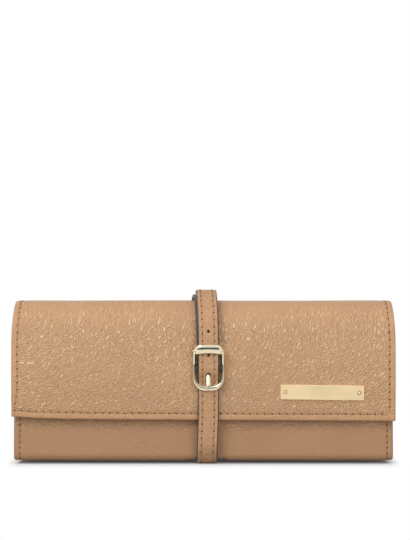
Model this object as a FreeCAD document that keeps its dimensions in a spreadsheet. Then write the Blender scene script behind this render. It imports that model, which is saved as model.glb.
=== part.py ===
import FreeCAD, Part
import math
import os
import re

from FreeCAD import Placement, Rotation, Vector

# Leather jewellery case: padded leather wrapped round a shallow space, closed by a flap and a buckled strap.
# X runs along the case, the flap faces -Y, +Z is up, and the strap under the base rests on z = 0.

doc = FreeCAD.newDocument("jewellery_case")
sheet = doc.addObject("Spreadsheet::Sheet", "dims")

SIZES = {
    # wrap and its layers
    "case_width": 227.6, "flap_width": 230.0, "case_depth": 54.0, "case_height": 95.6,
    "leather": 1.3, "padding": 1.5, "lining": 0.8, "hem": 5.0,
    "top_back_radius": 15.0, "top_front_radius": 20.0, "base_radius": 10.0,
    "flap_edge_height": 24.6, "bulge_angle": 6.0, "flap_play": 0.6, "fold_gap": 0.5,
    "wall_height": 60.0, "wall_lean": 4.0,
    # strap and buckle
    "strap_x": 3.0, "strap_width": 12.5, "strap": 2.2, "strap_play": 0.4, "tip_play": 1.4,
    "strap_corner_radius": 14.0, "strap_tilt": 2.0, "strap_cut_angle": 35.0,
    "step_angle": 28.0, "step_radius": 6.0,
    "hole_radius": 0.9, "hole_pitch": 13.0, "slot_length": 8.0, "slot_width": 3.2,
    "buckle_width": 18.6, "buckle_height": 27.6, "buckle_centre": 55.6, "buckle_side": 2.2,
    "buckle_bar": 3.2, "keeper_height": 5.4, "keeper": 1.4, "frame_back": 0.9, "frame_front": 4.8,
    "strap_clearance": 0.3, "buckle_low_radius": 7.0, "buckle_top_radius": 3.5,
    "pin_radius": 0.9, "pin_above_centre": 0.2, "pin_play": 0.05, "loop_wall": 0.8,
    "tongue_width": 2.6, "tongue": 1.7, "tongue_overhang": 0.3, "tongue_seat": 0.15,
    # name plate
    "plate_length": 50.0, "plate_height": 9.0, "plate": 1.2, "plate_x": 71.0, "plate_centre": 41.2,
    "rivet_radius": 1.3, "rivet_head": 0.5, "rivet_post": 0.6, "rivet_inset": 2.9,
    # inside fittings
    "pocket_width": 200.0, "pocket": 1.2, "pocket_play": 0.3, "pocket_foot": 14.0, "zip_height": 62.0,
    "zip_gap": 4.0, "tape": 0.6, "tape_height": 7.0, "teeth_height": 3.0, "teeth": 1.6, "tooth_pitch": 2.5,
    "zip_length": 190.0, "pocket_top": 9.0, "slider_length": 9.0, "slider_height": 7.0, "slider": 1.2,
    "slider_play": 0.3, "bridge_radius": 0.6, "bridge_rise": 1.6, "pull_length": 18.0, "pull_height": 4.0,
    "pull": 1.0, "stop_length": 3.0, "end_margin": 6.0,
    "ring_bar_radius": 8.0, "ring_bar_length": 100.0, "ring_bar_inset": 18.0, "seat_play": 0.3,
    "tab": 1.2, "tab_length": 16.0, "tab_width": 12.0, "cap_radius": 4.5, "cap": 1.6,
    "stud_radius": 1.6, "stud": 1.6, "anchor_length": 14.0,
    "slip_pocket": 1.0, "slip_height": 34.0, "flap_pocket_height": 36.0,
}

for row, (alias, value) in enumerate(SIZES.items(), start=1):
    sheet.set(f"A{row}", alias)
    sheet.set(f"B{row}", str(value))
    sheet.setAlias(f"B{row}", alias)
doc.recompute()


# Values that follow from the driving sizes, as formulas of their names.
DERIVED = {
    "wall": "leather + padding + lining",
    "core": "leather + padding",
    "base_z": "strap",
    "floor_z": "base_z + wall",
    "top_z": "base_z + case_height",
    "edge_z": "base_z + flap_edge_height",
    "back_y": "case_depth / 2",
    "inner_back_y": "back_y - wall",
    "hinge_z": "top_z - top_back_radius",
    "corner_z": "base_z + base_radius",
    "frame_z": "base_z + buckle_centre",
    "frame_low_z": "frame_z - buckle_height / 2",
    "frame_top_z": "frame_z + buckle_height / 2",
    "window_width": "buckle_width - 2 * buckle_side",
    "window_low_z": "frame_low_z + buckle_bar",
    "window_top_z": "frame_top_z - keeper_height",
    "pin_z": "frame_z + pin_above_centre",
    "loop_radius": "pin_radius + loop_wall",
    "pin_w": "strap_play + loop_radius",
    "tip_in": "strap_play + strap + tip_play",
    "keeper_in": "tip_in + strap + strap_clearance",
    "keeper_out": "keeper_in + keeper",
    "bar_in": "strap_play + strap + strap_clearance",
    "front_y": "-case_depth / 2",
    "pocket_y": "inner_back_y - pocket_play - pocket",
    "tape_y": "pocket_y - tape",
    "teeth_y": "pocket_y - teeth",
    "slider_y": "teeth_y - slider_play - slider",
    "bridge_y": "slider_y - bridge_rise",
    "zip_z": "base_z + zip_height",
    "slider_x": "zip_length / 2 - end_margin - slider_length",
    "bridge_x": "slider_x + slider_length / 2",
    "ring_bar_start": "ring_bar_inset - case_width / 2",
    "bar_end_x": "ring_bar_start + ring_bar_length",
    "tab_z": "floor_z + seat_play",
    "snap_x": "bar_end_x + tab_length / 2",
}


def formula(text):
    """Writes a formula of size names as an expression that reads the sheet."""

    def name(found):
        word = found.group(0)
        if word in DERIVED:
            return "(" + formula(DERIVED[word]) + ")"
        return "dims." + word if word in SIZES else word

    return re.sub(r"[a-z_]+", name, text)


def size(text):
    """The value of a formula of size names, in millimetres or degrees."""
    return float(sheet.evalExpression(formula(text)))


pieces = []


def keep(shape, label):
    """Names an object of the document as one piece of the case."""
    shape.Label = label
    pieces.append(shape)
    return shape


def bind(shape, **values):
    """Ties properties of an object to formulas of the sheet's sizes."""
    for prop, text in values.items():
        shape.setExpression(prop.replace("__", "."), formula(text))
    return shape


def box(name, length, width, height, x, y, z):
    made = doc.addObject("Part::Box", name)
    bind(made, Length=length, Width=width, Height=height)
    return bind(made, Placement__Base__x=x, Placement__Base__y=y, Placement__Base__z=z)


AXES = {"X": Rotation(Vector(0, 1, 0), 90), "Y": Rotation(Vector(1, 0, 0), -90), "Z": Rotation()}


def rod(name, axis, radius, height, x, y, z):
    """A cylinder that starts at a point and runs along a positive axis."""
    made = doc.addObject("Part::Cylinder", name)
    made.Placement = Placement(Vector(), AXES[axis])
    bind(made, Radius=radius, Height=height)
    return bind(made, Placement__Base__x=x, Placement__Base__y=y, Placement__Base__z=z)


def cut(name, base, *tools):
    for number, tool in enumerate(tools):
        made = doc.addObject("Part::Cut", f"{name}_cut_{number}")
        made.Base = base
        made.Tool = tool
        base = made
    return base


def fuse(name, *shapes):
    made = doc.addObject("Part::MultiFuse", name + "_fuse")
    made.Shapes = list(shapes)
    return made


def group(name, *shapes):
    """Separate solids that share one node."""
    made = doc.addObject("Part::Compound", name + "_group")
    made.Links = list(shapes)
    return made


# Section paths
# A path in the YZ plane is a start point, a heading in degrees from +Y towards +Z, and a list of runs:
# ("line", length) or ("arc", radius, turn), where a positive turn goes left, into the case.


def direction(heading):
    return Vector(math.cos(math.radians(heading)), math.sin(math.radians(heading)), 0)


def trace(path, offset):
    """The edges of a path moved outwards by an offset, with its end point and heading."""
    start, heading, runs = path
    right = direction(heading - 90)
    point = start + right * offset
    edges = []
    for run in runs:
        if run[0] == "line":
            ahead = point + direction(heading) * run[1]
            edges.append(Part.LineSegment(point, ahead))
        else:
            side = math.copysign(1, run[2])
            radius = run[1] + side * offset
            centre = point + direction(heading + 90 * side) * radius
            spokes = [direction(heading - 90 * side + run[2] * share) * radius for share in (0, 0.5, 1)]
            edges.append(Part.Arc(*[centre + spoke for spoke in spokes]))
            heading += run[2]
            ahead = centre + spokes[2]
        point = ahead
    return edges, point, heading


def end_of(path):
    edges, point, heading = trace(path, 0)
    return point, heading


def band(path, outer, inner):
    """The closed outline between two offsets of a path."""
    outside, outside_end, heading = trace(path, outer)
    inside, inside_end, heading = trace(path, inner)
    first_out, first_in = outside[0].StartPoint, inside[0].StartPoint
    caps = [Part.LineSegment(outside_end, inside_end), Part.LineSegment(first_in, first_out)]
    return outside + inside + caps


def trimmed(path, amount):
    """A path whose first and last runs are shortened by the hem at the free ends."""
    start, heading, runs = path
    runs = list(runs)
    for place in (0, -1):
        run = runs[place]
        if run[0] == "line":
            runs[place] = ("line", run[1] - amount)
        else:
            runs[place] = ("arc", run[1], run[2] - math.degrees(amount / run[1]))
    first = (start, heading, [("line", amount)] if path[2][0][0] == "line" else
             [("arc", path[2][0][1], math.degrees(amount / path[2][0][1]))])
    begin, turned = end_of(first)
    return begin, turned, runs


def sketch_on(body, role, name, outline, stand):
    """A sketch on one of the body's own planes, moved along the plane's normal by a stand-off."""
    sketch = body.newObject("Sketcher::SketchObject", name)
    plane = [item for item in body.Origin.OriginFeatures if item.Role == role][0]
    sketch.AttachmentSupport = (plane, "")
    sketch.MapMode = "FlatFace"
    sketch.setExpression("AttachmentOffset.Base.z", formula(stand))
    sketch.addGeometry(outline)
    return sketch


def sheet_body(name, outline, width, middle="0"):
    """A sheet of one layer: its section in YZ, padded to both sides of its middle."""
    body = doc.addObject("PartDesign::Body", name)
    pad = body.newObject("PartDesign::Pad", name + "_pad")
    pad.Profile = sketch_on(body, "YZ_Plane", name + "_section", outline, middle)
    pad.SideType = "Symmetric"
    bind(pad, Length=width)
    return body


def recess(body, name, outline, width):
    """A pocket in a sheet body, through both sides of the middle."""
    doc.recompute()
    pocket = body.newObject("PartDesign::Pocket", name + "_recess")
    pocket.Profile = sketch_on(body, "YZ_Plane", name + "_recess_section", outline, "0")
    pocket.SideType = "Symmetric"
    bind(pocket, Length=width)
    return body


def padded_panel(leather_name, padding_name, lining_name, path, width):
    """A leather sheet whose turned hem holds a padding board, backed by a lining."""
    core_outline = band(trimmed(path, size("hem")), -size("leather"), -size("core"))
    inside_width = f"{width} - 2 * hem"
    leather = sheet_body(leather_name, band(path, 0, -size("core")), width)
    recess(leather, leather_name, core_outline, inside_width)
    padding = sheet_body(padding_name, core_outline, inside_width)
    lining = sheet_body(lining_name, band(path, -size("core"), -size("wall")), width)
    keep(padding, padding_name)
    keep(lining, lining_name)
    return leather


# The flap's section: up from the hinge, over the top and down a gently bulged front.
bulge = size("bulge_angle")
front_turn = 90 - bulge
front_drop = size("top_front_radius") * (1 - math.cos(math.radians(front_turn)))
bulge_chord = size("case_height - flap_edge_height") - front_drop
bulge_radius = bulge_chord / (2 * math.sin(math.radians(bulge)))
bulge_rise = bulge_radius * (1 - math.cos(math.radians(bulge)))
bulge_z = size("edge_z") + bulge_chord / 2
bulge_y = size("front_y") + bulge_radius
front_reach = size("top_front_radius") * math.sin(math.radians(front_turn))
top_length = size("case_depth - top_back_radius") - front_reach - bulge_rise

flap_start = Vector(size("back_y"), size("hinge_z"), 0)
flap_runs = [
    ("arc", size("top_back_radius"), 90),
    ("line", top_length),
    ("arc", size("top_front_radius"), front_turn),
    ("arc", bulge_radius, 2 * bulge),
]
flap_path = (flap_start, 90, flap_runs)

# The wrap's section: from the foot of the front wall under the base and up the back to the hinge.
wall_y = size("front_y + wall + flap_play") + bulge_rise
wrap_runs = [
    ("arc", size("base_radius"), 90),
    ("line", size("back_y - 2 * base_radius") - wall_y),
    ("arc", size("base_radius"), 90),
    ("line", size("hinge_z - corner_z - fold_gap")),
]
wrap_path = (Vector(wall_y, size("corner_z"), 0), 270, wrap_runs)

# The front wall's section: a straight panel that leans in towards its top edge.
wall_heading = 270 - size("wall_lean")
wall_length = size("wall_height - base_radius - fold_gap") / math.cos(math.radians(size("wall_lean")))
wall_foot = Vector(wall_y, size("corner_z + fold_gap"), 0)
wall_path = (wall_foot - direction(wall_heading) * wall_length, wall_heading, [("line", wall_length)])


def bulge_angle_at(height, radius):
    """The angle, in degrees above the bulge's middle, of a height on a circle about its centre."""
    return math.degrees(math.asin((height - bulge_z) / radius))


def bulge_point(height, out):
    """A point that stands out from the bulged front at a height."""
    radius = bulge_radius + out
    angle = math.radians(bulge_angle_at(height, radius))
    return Vector(bulge_y - radius * math.cos(angle), height, 0)


# Strap sections
# The buckle strap lies on the flap from the hinge to the buckle's pin.
pin_angle = bulge_angle_at(size("pin_z"), bulge_radius)
buckle_strap_runs = flap_runs[:3] + [("arc", bulge_radius, bulge - pin_angle)]
buckle_strap_path = (flap_start, 90, buckle_strap_runs)

# The free strap, on its middle line: from its tip over the top, down in front of the buckle strap, in through
# the buckle to the flap, and down to the cut at the front corner of the base.
half_strap = size("strap / 2")
tip_out = size("tip_in") + half_strap
step_depth = size("strap + tip_play")
step_turn = math.radians(size("step_angle"))
step_line = (step_depth - 2 * size("step_radius") * (1 - math.cos(step_turn))) / math.sin(step_turn)
step_height = size("pin_z")
tip_radius = bulge_radius + tip_out
tip_angle = bulge_angle_at(step_height, tip_radius)
down_heading = 270 + size("strap_tilt")
corner_radius = size("strap_corner_radius")
tip_runs = [
    ("line", top_length),
    ("arc", size("top_front_radius") + tip_out, front_turn),
    ("arc", tip_radius, bulge - tip_angle),
    ("arc", size("step_radius"), size("step_angle")),
    ("line", step_line),
    ("arc", size("step_radius"), -size("step_angle")),
]
tip_start = Vector(size("back_y - top_back_radius"), size("top_z") + tip_out, 0)
below_buckle, below_heading = end_of((tip_start, 180, tip_runs))
ease_turn = down_heading - below_heading
ease_radius = size("buckle_height")
eased, eased_heading = end_of((below_buckle, below_heading, [("arc", ease_radius, ease_turn)]))
line_end_z = half_strap + corner_radius * (1 - math.cos(math.radians(down_heading)))
corner_turn = 360 - size("strap_cut_angle") - down_heading
free_strap_runs = tip_runs + [
    ("arc", ease_radius, ease_turn),
    ("line", (line_end_z - eased.y) / math.sin(math.radians(down_heading))),
    ("arc", corner_radius, corner_turn - math.degrees(size("fold_gap") / corner_radius)),
]
free_strap_path = (tip_start, 180, free_strap_runs)

# The back strap goes on from the cut, under the base and up the back to the hinge.
cut_point, cut_heading = end_of(free_strap_path)
gap_turn = math.degrees(size("fold_gap") / corner_radius)
back_start, back_heading = end_of((cut_point, cut_heading, [("arc", corner_radius, gap_turn)]))
back_corner = size("base_radius") + half_strap
under_start, under_heading = end_of((back_start, back_heading, [("arc", corner_radius, 360 - back_heading)]))
back_strap_runs = [
    ("arc", corner_radius, 360 - back_heading),
    ("line", size("back_y - base_radius") - under_start.x),
    ("arc", back_corner, 90),
    ("line", size("hinge_z - corner_z - fold_gap")),
]
back_strap_path = (back_start, back_heading, back_strap_runs)


def make_wrap():
    """Back and base of the case, one leather sheet over its board, with its lining."""
    keep(padded_panel("back_panel", "back_board", "body_lining", wrap_path, "case_width"), "back_panel")


def make_front_wall():
    keep(padded_panel("front_wall", "front_board", "front_lining", wall_path, "case_width"), "front_wall")
    reach = wall_length - size("hem")
    low = (wall_foot - direction(wall_heading) * reach, wall_heading, [("line", size("slip_height"))])
    outline = band(low, -size("wall + pocket_play"), -size("wall + pocket_play + slip_pocket"))
    keep(sheet_body("front_pocket", outline, "pocket_width"), "front_pocket")


def plate_place():
    """The middle of the name plate on the bulged flap, and the tilt of the surface there, in degrees."""
    height = size("base_z + plate_centre")
    return bulge_point(height, 0), -bulge_angle_at(height, bulge_radius)


def on_plate(shape, x, out, height):
    """Stands a shape at the plate: x along the case, out from the leather, height up the plate."""
    middle, tilt = plate_place()
    turn = Rotation(Vector(1, 0, 0), tilt)
    local = turn.multVec(Vector(0, -out, height))
    shape.Placement = Placement(Vector(x, middle.x + local.y, middle.y + local.z), turn)
    return shape


def rivet_rods(name, radius, depth, out):
    """Two round pins along the plate's normal that reach a depth into the flap from a stand-off."""
    shift = size("plate_length / 2 - rivet_inset")
    made = []
    for number, side in enumerate((-1, 1)):
        pin = doc.addObject("Part::Cylinder", f"{name}_{number}")
        bind(pin, Radius=radius, Height=depth)
        on_plate(pin, size("plate_x") + side * shift, size(out), 0)
        pin.Placement = pin.Placement.multiply(Placement(Vector(), AXES["Y"]))
        made.append(pin)
    return made


def make_flap():
    """Flap with the name plate riveted to its leather, and a slip pocket in its lining."""
    leather = padded_panel("flap_sheet", "flap_board", "flap_lining", flap_path, "flap_width")
    flap_holes = rivet_rods("flap_hole", "rivet_post", "plate + leather", "plate")
    keep(cut("flap", leather, *flap_holes), "flap_leather")
    plate = doc.addObject("Part::Box", "plate_blank")
    bind(plate, Length="plate_length", Width="plate", Height="plate_height")
    on_plate(plate, size("plate_x - plate_length / 2"), size("plate"), -size("plate_height / 2"))
    plate_holes = rivet_rods("plate_hole", "rivet_post", "plate + leather", "plate")
    keep(cut("plate", plate, *plate_holes), "nameplate")
    heads = rivet_rods("rivet_head", "rivet_radius", "rivet_head", "plate + rivet_head")
    posts = rivet_rods("rivet_post", "rivet_post", "plate + leather", "plate")
    rivets = [fuse(f"rivet_{number}", *pair) for number, pair in enumerate(zip(heads, posts))]
    keep(group("rivets", *rivets), "nameplate_rivets")
    drop = math.degrees(size("flap_pocket_height") / bulge_radius)
    edge = math.degrees(size("hem") / bulge_radius)
    down_to_pocket = flap_runs[:3] + [("arc", bulge_radius, 2 * bulge - drop - edge)]
    upper, heading = end_of((flap_start, 90, down_to_pocket))
    pocket_run = (upper, heading, [("arc", bulge_radius, drop)])
    outline = band(pocket_run, -size("wall"), -size("wall + slip_pocket"))
    keep(sheet_body("flap_pocket", outline, "pocket_width"), "flap_pocket")


def make_straps():
    """The buckle strap with its loop round the pin, the holed free strap, and the strap sewn to the back."""
    low, high = size("strap_play"), size("strap_play + strap")
    left, slot_left = "strap_x - strap_width / 2", "strap_x - slot_width / 2"
    flat = sheet_body("buckle_strap_flat", band(buckle_strap_path, high, low), "strap_width", "strap_x")
    pin = bulge_point(size("pin_z"), size("pin_w"))
    loop = rod("strap_loop", "X", "loop_radius", "strap_width", left, str(pin.x), "pin_z")
    eye = rod("strap_eye", "X", "pin_radius", "strap_width", left, str(pin.x), "pin_z")
    slot = box("strap_slot", "slot_width", "4 * loop_radius", "5 * loop_radius", slot_left,
               f"{pin.x} - 2 * loop_radius", "pin_z - 2 * loop_radius")
    keep(cut("buckle_strap", fuse("buckle_strap", flat, loop), eye, slot), "buckle_strap")
    free_outline = band(free_strap_path, half_strap, -half_strap)
    free = sheet_body("free_strap_flat", free_outline, "strap_width", "strap_x")
    tools = [box("tongue_slot", "slot_width", "3 * tip_in", "slot_length", slot_left,
                 "front_y - 2 * tip_in", "pin_z + strap_clearance - slot_length")]
    for number in (1, 2):
        height = f"pin_z - slot_length / 2 + {number} * hole_pitch"
        tools.append(rod(f"strap_hole_{number}", "Y", "hole_radius", "3 * tip_in", "strap_x",
                         "front_y - 2 * tip_in", height))
    keep(cut("free_strap", free, *tools, tip_corners()), "free_strap")
    back_outline = band(back_strap_path, half_strap, -half_strap)
    keep(sheet_body("back_strap", back_outline, "strap_width", "strap_x"), "back_strap")


def tip_corners():
    """What a round tip leaves out of the free strap's square end."""
    tip_y = "back_y - top_back_radius"
    centre = f"{tip_y} - strap_width / 2"
    block = box("tip_block", "2 * strap_width", "strap_width", "3 * tip_in", "strap_x - strap_width",
                centre, "top_z")
    end = rod("tip_round", "Z", "strap_width / 2", "3 * tip_in", "strap_x", centre, "top_z")
    return cut("tip_corner", block, end)


def frame_outline():
    """The buckle's front outline in XZ: small round corners above, large ones below."""
    left, right = size("strap_x - buckle_width / 2"), size("strap_x + buckle_width / 2")
    low, high = size("frame_low_z"), size("frame_top_z")
    big, small = size("buckle_low_radius"), size("buckle_top_radius")
    return rounded([(left, low, big), (right, low, big), (right, high, small), (left, high, small)])


def rounded(corners):
    """A closed outline through corners listed anticlockwise, each rounded by its own radius."""
    outline, ends = [], []
    for number, (x, z, radius) in enumerate(corners):
        here = Vector(x, z, 0)
        before, after = corners[number - 1], corners[(number + 1) % len(corners)]
        back = (Vector(before[0], before[1], 0) - here).normalize()
        ahead = (Vector(after[0], after[1], 0) - here).normalize()
        middle = here + (back + ahead) * radius - (back + ahead).normalize() * radius
        ends.append((here + back * radius, middle, here + ahead * radius))
    for number, (first, middle, last) in enumerate(ends):
        outline.append(Part.Arc(first, middle, last))
        outline.append(Part.LineSegment(last, ends[(number + 1) % len(ends)][0]))
    return outline


def front_body(name, outline, depth, stand):
    """A solid with a front outline in XZ, from a stand-off in front of the flap further out by a depth."""
    body = doc.addObject("PartDesign::Body", name)
    sketch = sketch_on(body, "XZ_Plane", name + "_outline", outline, f"-front_y + {stand}")
    pad = body.newObject("PartDesign::Pad", name + "_pad")
    pad.Profile = sketch
    bind(pad, Length=depth)
    return body


def make_buckle():
    """Cast frame whose wide top bar is the strap's keeper, the pin across it, and the tongue on the pin."""
    blank = front_body("frame_blank", frame_outline(), "keeper_out - frame_back", "frame_back")
    left, right = size("strap_x - window_width / 2"), size("strap_x + window_width / 2")
    low, high = size("window_low_z"), size("window_top_z")
    big, small = size("buckle_low_radius - buckle_side"), size("buckle_side")
    corners = [(left, low, big), (right, low, big), (right, high, small), (left, high, small)]
    window = front_body("frame_window", rounded(corners), "2 * keeper_out", "-keeper_out / 2")
    under_bar = box("under_bar", "window_width", "bar_in + 1", "buckle_bar + buckle_low_radius",
                    "strap_x - window_width / 2", "front_y - bar_in", "frame_low_z - 1")
    under_keeper = box("under_keeper", "window_width", "keeper_in + 1", "keeper_height + 2",
                       "strap_x - window_width / 2", "front_y - keeper_in", "window_top_z - 1")
    front, top, under = -size("frame_front"), -size("keeper_out"), low - size("buckle_height")
    rise = high - size("keeper_height")
    slope = [(front, under), (front, rise), (top, high), (2 * top, high), (2 * top, under)]
    points = [Vector(size("front_y") + y, z, 0) for y, z in slope]
    sides = [Part.LineSegment(points[n], points[(n + 1) % len(points)]) for n in range(len(points))]
    shoulder = sheet_body("frame_shoulder", sides, "2 * buckle_width", "strap_x")
    pin_at = bulge_point(size("pin_z"), size("pin_w"))
    pin_args = ("X", "pin_radius", "buckle_width - buckle_side",
                "strap_x - (buckle_width - buckle_side) / 2", str(pin_at.x), "pin_z")
    tools = [window, under_bar, under_keeper, shoulder, rod("pin_hole", *pin_args)]
    keep(cut("frame", blank, *tools), "buckle_frame")
    keep(rod("buckle_pin", *pin_args), "buckle_pin")
    make_tongue(pin_at)


def make_tongue(pin_at):
    """The tongue: an eye on the pin and a straight bar that crosses the free strap and rests on the frame."""
    bar_y, bar_z = size("front_y - frame_front - tongue_seat"), size("window_low_z")
    reach = Vector(bar_y, bar_z, 0) - pin_at
    half = size("tongue / 2")
    angle = math.atan2(-reach.x, -reach.y) + math.asin(half / reach.Length)
    run = (math.cos(angle) ** -1) * (pin_at.y - size("frame_low_z - tongue_overhang"))
    along = Vector(-math.sin(angle), -math.cos(angle), 0)
    across = Vector(along.y, -along.x, 0) * half
    tip = pin_at + along * run
    left, right, low_left, low_right = pin_at - across, pin_at + across, tip - across, tip + across
    outline = [Part.LineSegment(left, low_left), Part.Arc(low_left, tip + along * half, low_right),
               Part.LineSegment(low_right, right), Part.LineSegment(right, left)]
    bar = sheet_body("tongue_bar", outline, "tongue_width", "strap_x")
    pin_y = str(pin_at.x)
    eye = rod("tongue_eye", "X", "loop_radius", "tongue_width", "strap_x - tongue_width / 2", pin_y, "pin_z")
    bore = rod("tongue_bore", "X", "pin_radius + pin_play", "2 * tongue_width", "strap_x - tongue_width",
               pin_y, "pin_z")
    keep(cut("tongue", fuse("tongue", bar, eye), bore), "buckle_tongue")


def make_zip_pocket():
    """Zipped pocket on the back's lining: two panels, two tapes, two rows of teeth and their end stops."""
    low = "(floor_z + pocket_foot)"
    left = "-pocket_width / 2"
    rise = f"zip_z - zip_gap - {low}"
    lower = box("lower_panel", "pocket_width", "pocket", rise, left, "pocket_y", low)
    upper = box("upper_panel", "pocket_width", "pocket", "pocket_top", left, "pocket_y", "zip_z + zip_gap")
    keep(lower, "pocket_lower_panel")
    keep(upper, "pocket_upper_panel")
    tapes, combs, stops = [], [], []
    for number, side in enumerate((-1, 1)):
        tape_z = f"zip_z + {side} * (teeth_height / 2 + tape_height / 2) - tape_height / 2"
        tapes.append(box(f"tape_{number}", "zip_length", "tape", "tape_height", "-zip_length / 2", "tape_y",
                         tape_z))
        stop_x = f"{side} * (zip_length - stop_length) / 2 - stop_length / 2"
        stops.append(box(f"stop_{number}", "stop_length", "teeth", "teeth_height", stop_x, "teeth_y",
                         "zip_z - teeth_height / 2"))
        combs.append(teeth_comb(number, side))
    keep(group("tapes", *tapes), "zip_tapes")
    keep(group("teeth", *combs), "zip_teeth")
    keep(group("stops", *stops), "zip_stops")


def teeth_comb(number, side):
    """One row of zip teeth: a bar along the tape's edge with square teeth that reach to the other row."""
    start = size("stop_length - zip_length / 2")
    pitch, reach = size("tooth_pitch"), size("teeth_height / 2")
    count = int(size("(zip_length - 2 * stop_length) / tooth_pitch")) - 1
    spine, gap = reach / 2, size("slider_play / 4")
    points = [Vector(start, 0, side * reach), Vector(start, 0, side * spine)]
    for tooth in range(count):
        left = start + (tooth + 0.25 + 0.5 * number) * pitch
        right = left + pitch / 2 - gap
        corners = ((left, spine), (left, gap), (right, gap), (right, spine))
        points += [Vector(x, 0, side * z) for x, z in corners]
    end = start + (count + 0.5) * pitch
    points += [Vector(end, 0, side * spine), Vector(end, 0, side * reach)]
    face = Part.Face(Part.makePolygon(points + points[:1]))
    comb = doc.addObject("Part::Feature", f"teeth_row_{number}")
    comb.Shape = face.extrude(Vector(0, size("teeth"), 0))
    comb.Placement = Placement(Vector(0, size("teeth_y"), size("zip_z")), Rotation())
    return comb


def make_slider():
    """Zip slider over the teeth with a bridge, and the pull that hangs on the bridge."""
    plate = box("slider_plate", "slider_length", "slider", "slider_height", "slider_x", "slider_y",
                "zip_z - slider_height / 2")
    posts = []
    for number, side in enumerate((-1, 1)):
        post_z = f"zip_z + {side} * (slider_height / 2 - bridge_radius) - bridge_radius"
        posts.append(box(f"slider_post_{number}", "2 * bridge_radius", "slider_y - bridge_y + bridge_radius",
                         "2 * bridge_radius", "bridge_x - bridge_radius",
                         "bridge_y - bridge_radius", post_z))
    bridge = rod("slider_bridge", "Z", "bridge_radius", "slider_height", "bridge_x", "bridge_y",
                 "zip_z - slider_height / 2")
    keep(fuse("slider", plate, *posts, bridge), "zip_slider")
    eye_radius = "2 * bridge_radius + pin_play"
    eye = rod("pull_eye", "Z", eye_radius, "pull_height", "bridge_x", "bridge_y", "zip_z - pull_height / 2")
    blade = box("pull_blade", "pull_length", "pull", "pull_height", "bridge_x - pull_length",
                "bridge_y - pull / 2", "zip_z - pull_height / 2")
    bore = rod("pull_bore", "Z", "bridge_radius + pin_play", "2 * pull_height", "bridge_x", "bridge_y",
               "zip_z - pull_height")
    keep(cut("pull", fuse("pull", blade, eye), bore), "zip_pull")


def make_ring_bar():
    """Padded ring bar on the base: sewn at one end by a patch, held at the other by a press stud."""
    middle_z = "tab_z + ring_bar_radius"
    roll = rod("bar_roll", "X", "ring_bar_radius", "ring_bar_length", "ring_bar_start", "0", middle_z)
    keep(roll, "ring_bar")
    tab = box("bar_tab_flat", "tab_length", "tab_width", "tab", "bar_end_x", "-tab_width / 2", "tab_z")
    hole = rod("tab_hole", "Z", "stud_radius + pin_play", "2 * tab", "snap_x", "0", "tab_z - tab / 2")
    keep(cut("bar_tab", tab, hole), "ring_bar_tab")
    cap = rod("cap_disc", "Z", "cap_radius", "cap", "snap_x", "0", "tab_z + tab")
    hollow = rod("cap_hollow", "Z", "stud_radius + pin_play", "stud / 2", "snap_x", "0", "tab_z + tab")
    keep(cut("snap_cap", cap, hollow), "snap_cap")
    keep(rod("stud_post", "Z", "stud_radius", "stud", "snap_x", "0", "floor_z"), "snap_stud")
    keep(box("bar_anchor", "anchor_length", "tab_width", "tab", "ring_bar_start - anchor_length - seat_play",
             "-tab_width / 2", "floor_z"), "ring_bar_anchor")


def write_pieces():
    """Checks that every object was built and every piece is a sound solid, then writes the pieces."""
    doc.recompute()
    broken = [item.Name for item in doc.Objects if {"Invalid", "Error"} & set(item.State)]
    if broken:
        raise RuntimeError(f"objects that failed: {broken}")
    os.makedirs("parts", exist_ok=True)
    for piece in pieces:
        if piece.Shape.isNull() or not piece.Shape.isValid() or not piece.Shape.Solids:
            raise RuntimeError(f"{piece.Label} is not a sound solid")
        piece.Shape.exportStep(f"parts/{piece.Label}.step")
    print(len(pieces), "pieces written")


make_wrap()
make_front_wall()
make_flap()
make_straps()
make_buckle()
make_zip_pocket()
make_slider()
make_ring_bar()
write_pieces()
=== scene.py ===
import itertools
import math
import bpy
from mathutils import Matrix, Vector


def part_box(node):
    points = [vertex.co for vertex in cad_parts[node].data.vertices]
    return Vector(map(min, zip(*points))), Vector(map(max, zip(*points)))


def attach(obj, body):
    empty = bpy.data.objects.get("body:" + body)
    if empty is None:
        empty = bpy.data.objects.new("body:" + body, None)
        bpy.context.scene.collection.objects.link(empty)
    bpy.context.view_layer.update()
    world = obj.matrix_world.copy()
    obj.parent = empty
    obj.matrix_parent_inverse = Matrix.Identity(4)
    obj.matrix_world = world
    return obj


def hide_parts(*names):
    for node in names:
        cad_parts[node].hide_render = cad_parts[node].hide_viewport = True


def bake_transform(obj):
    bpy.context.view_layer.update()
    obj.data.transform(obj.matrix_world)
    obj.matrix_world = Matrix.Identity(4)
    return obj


bl_info = {
    "name": "Jewellery wrap case",
    "version": (1, 0, 0),
    "blender": (4, 5, 0),
    "location": "View3D > Sidebar > Wrap case",
    "description": "Dresses a leather jewellery case: grained skin, stitching, strap, gilt buckle and plate",
    "category": "Object",
}

import bpy
import numpy as np

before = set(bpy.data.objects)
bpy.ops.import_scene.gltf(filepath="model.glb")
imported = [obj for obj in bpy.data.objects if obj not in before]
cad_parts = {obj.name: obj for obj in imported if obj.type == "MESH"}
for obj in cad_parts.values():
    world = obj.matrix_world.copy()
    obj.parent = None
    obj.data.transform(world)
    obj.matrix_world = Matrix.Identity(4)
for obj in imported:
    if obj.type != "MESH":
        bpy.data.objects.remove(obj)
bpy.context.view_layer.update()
MM = 0.001
X_AXIS, Y_AXIS, Z_AXIS = np.eye(3)


def mm(*values):
    """Lengths in metres from lengths in millimetres."""
    return [value * MM for value in values]


def middle_of(node):
    """The middle of a CAD node's box, in metres."""
    return np.mean(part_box(node), axis=0)


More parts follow.
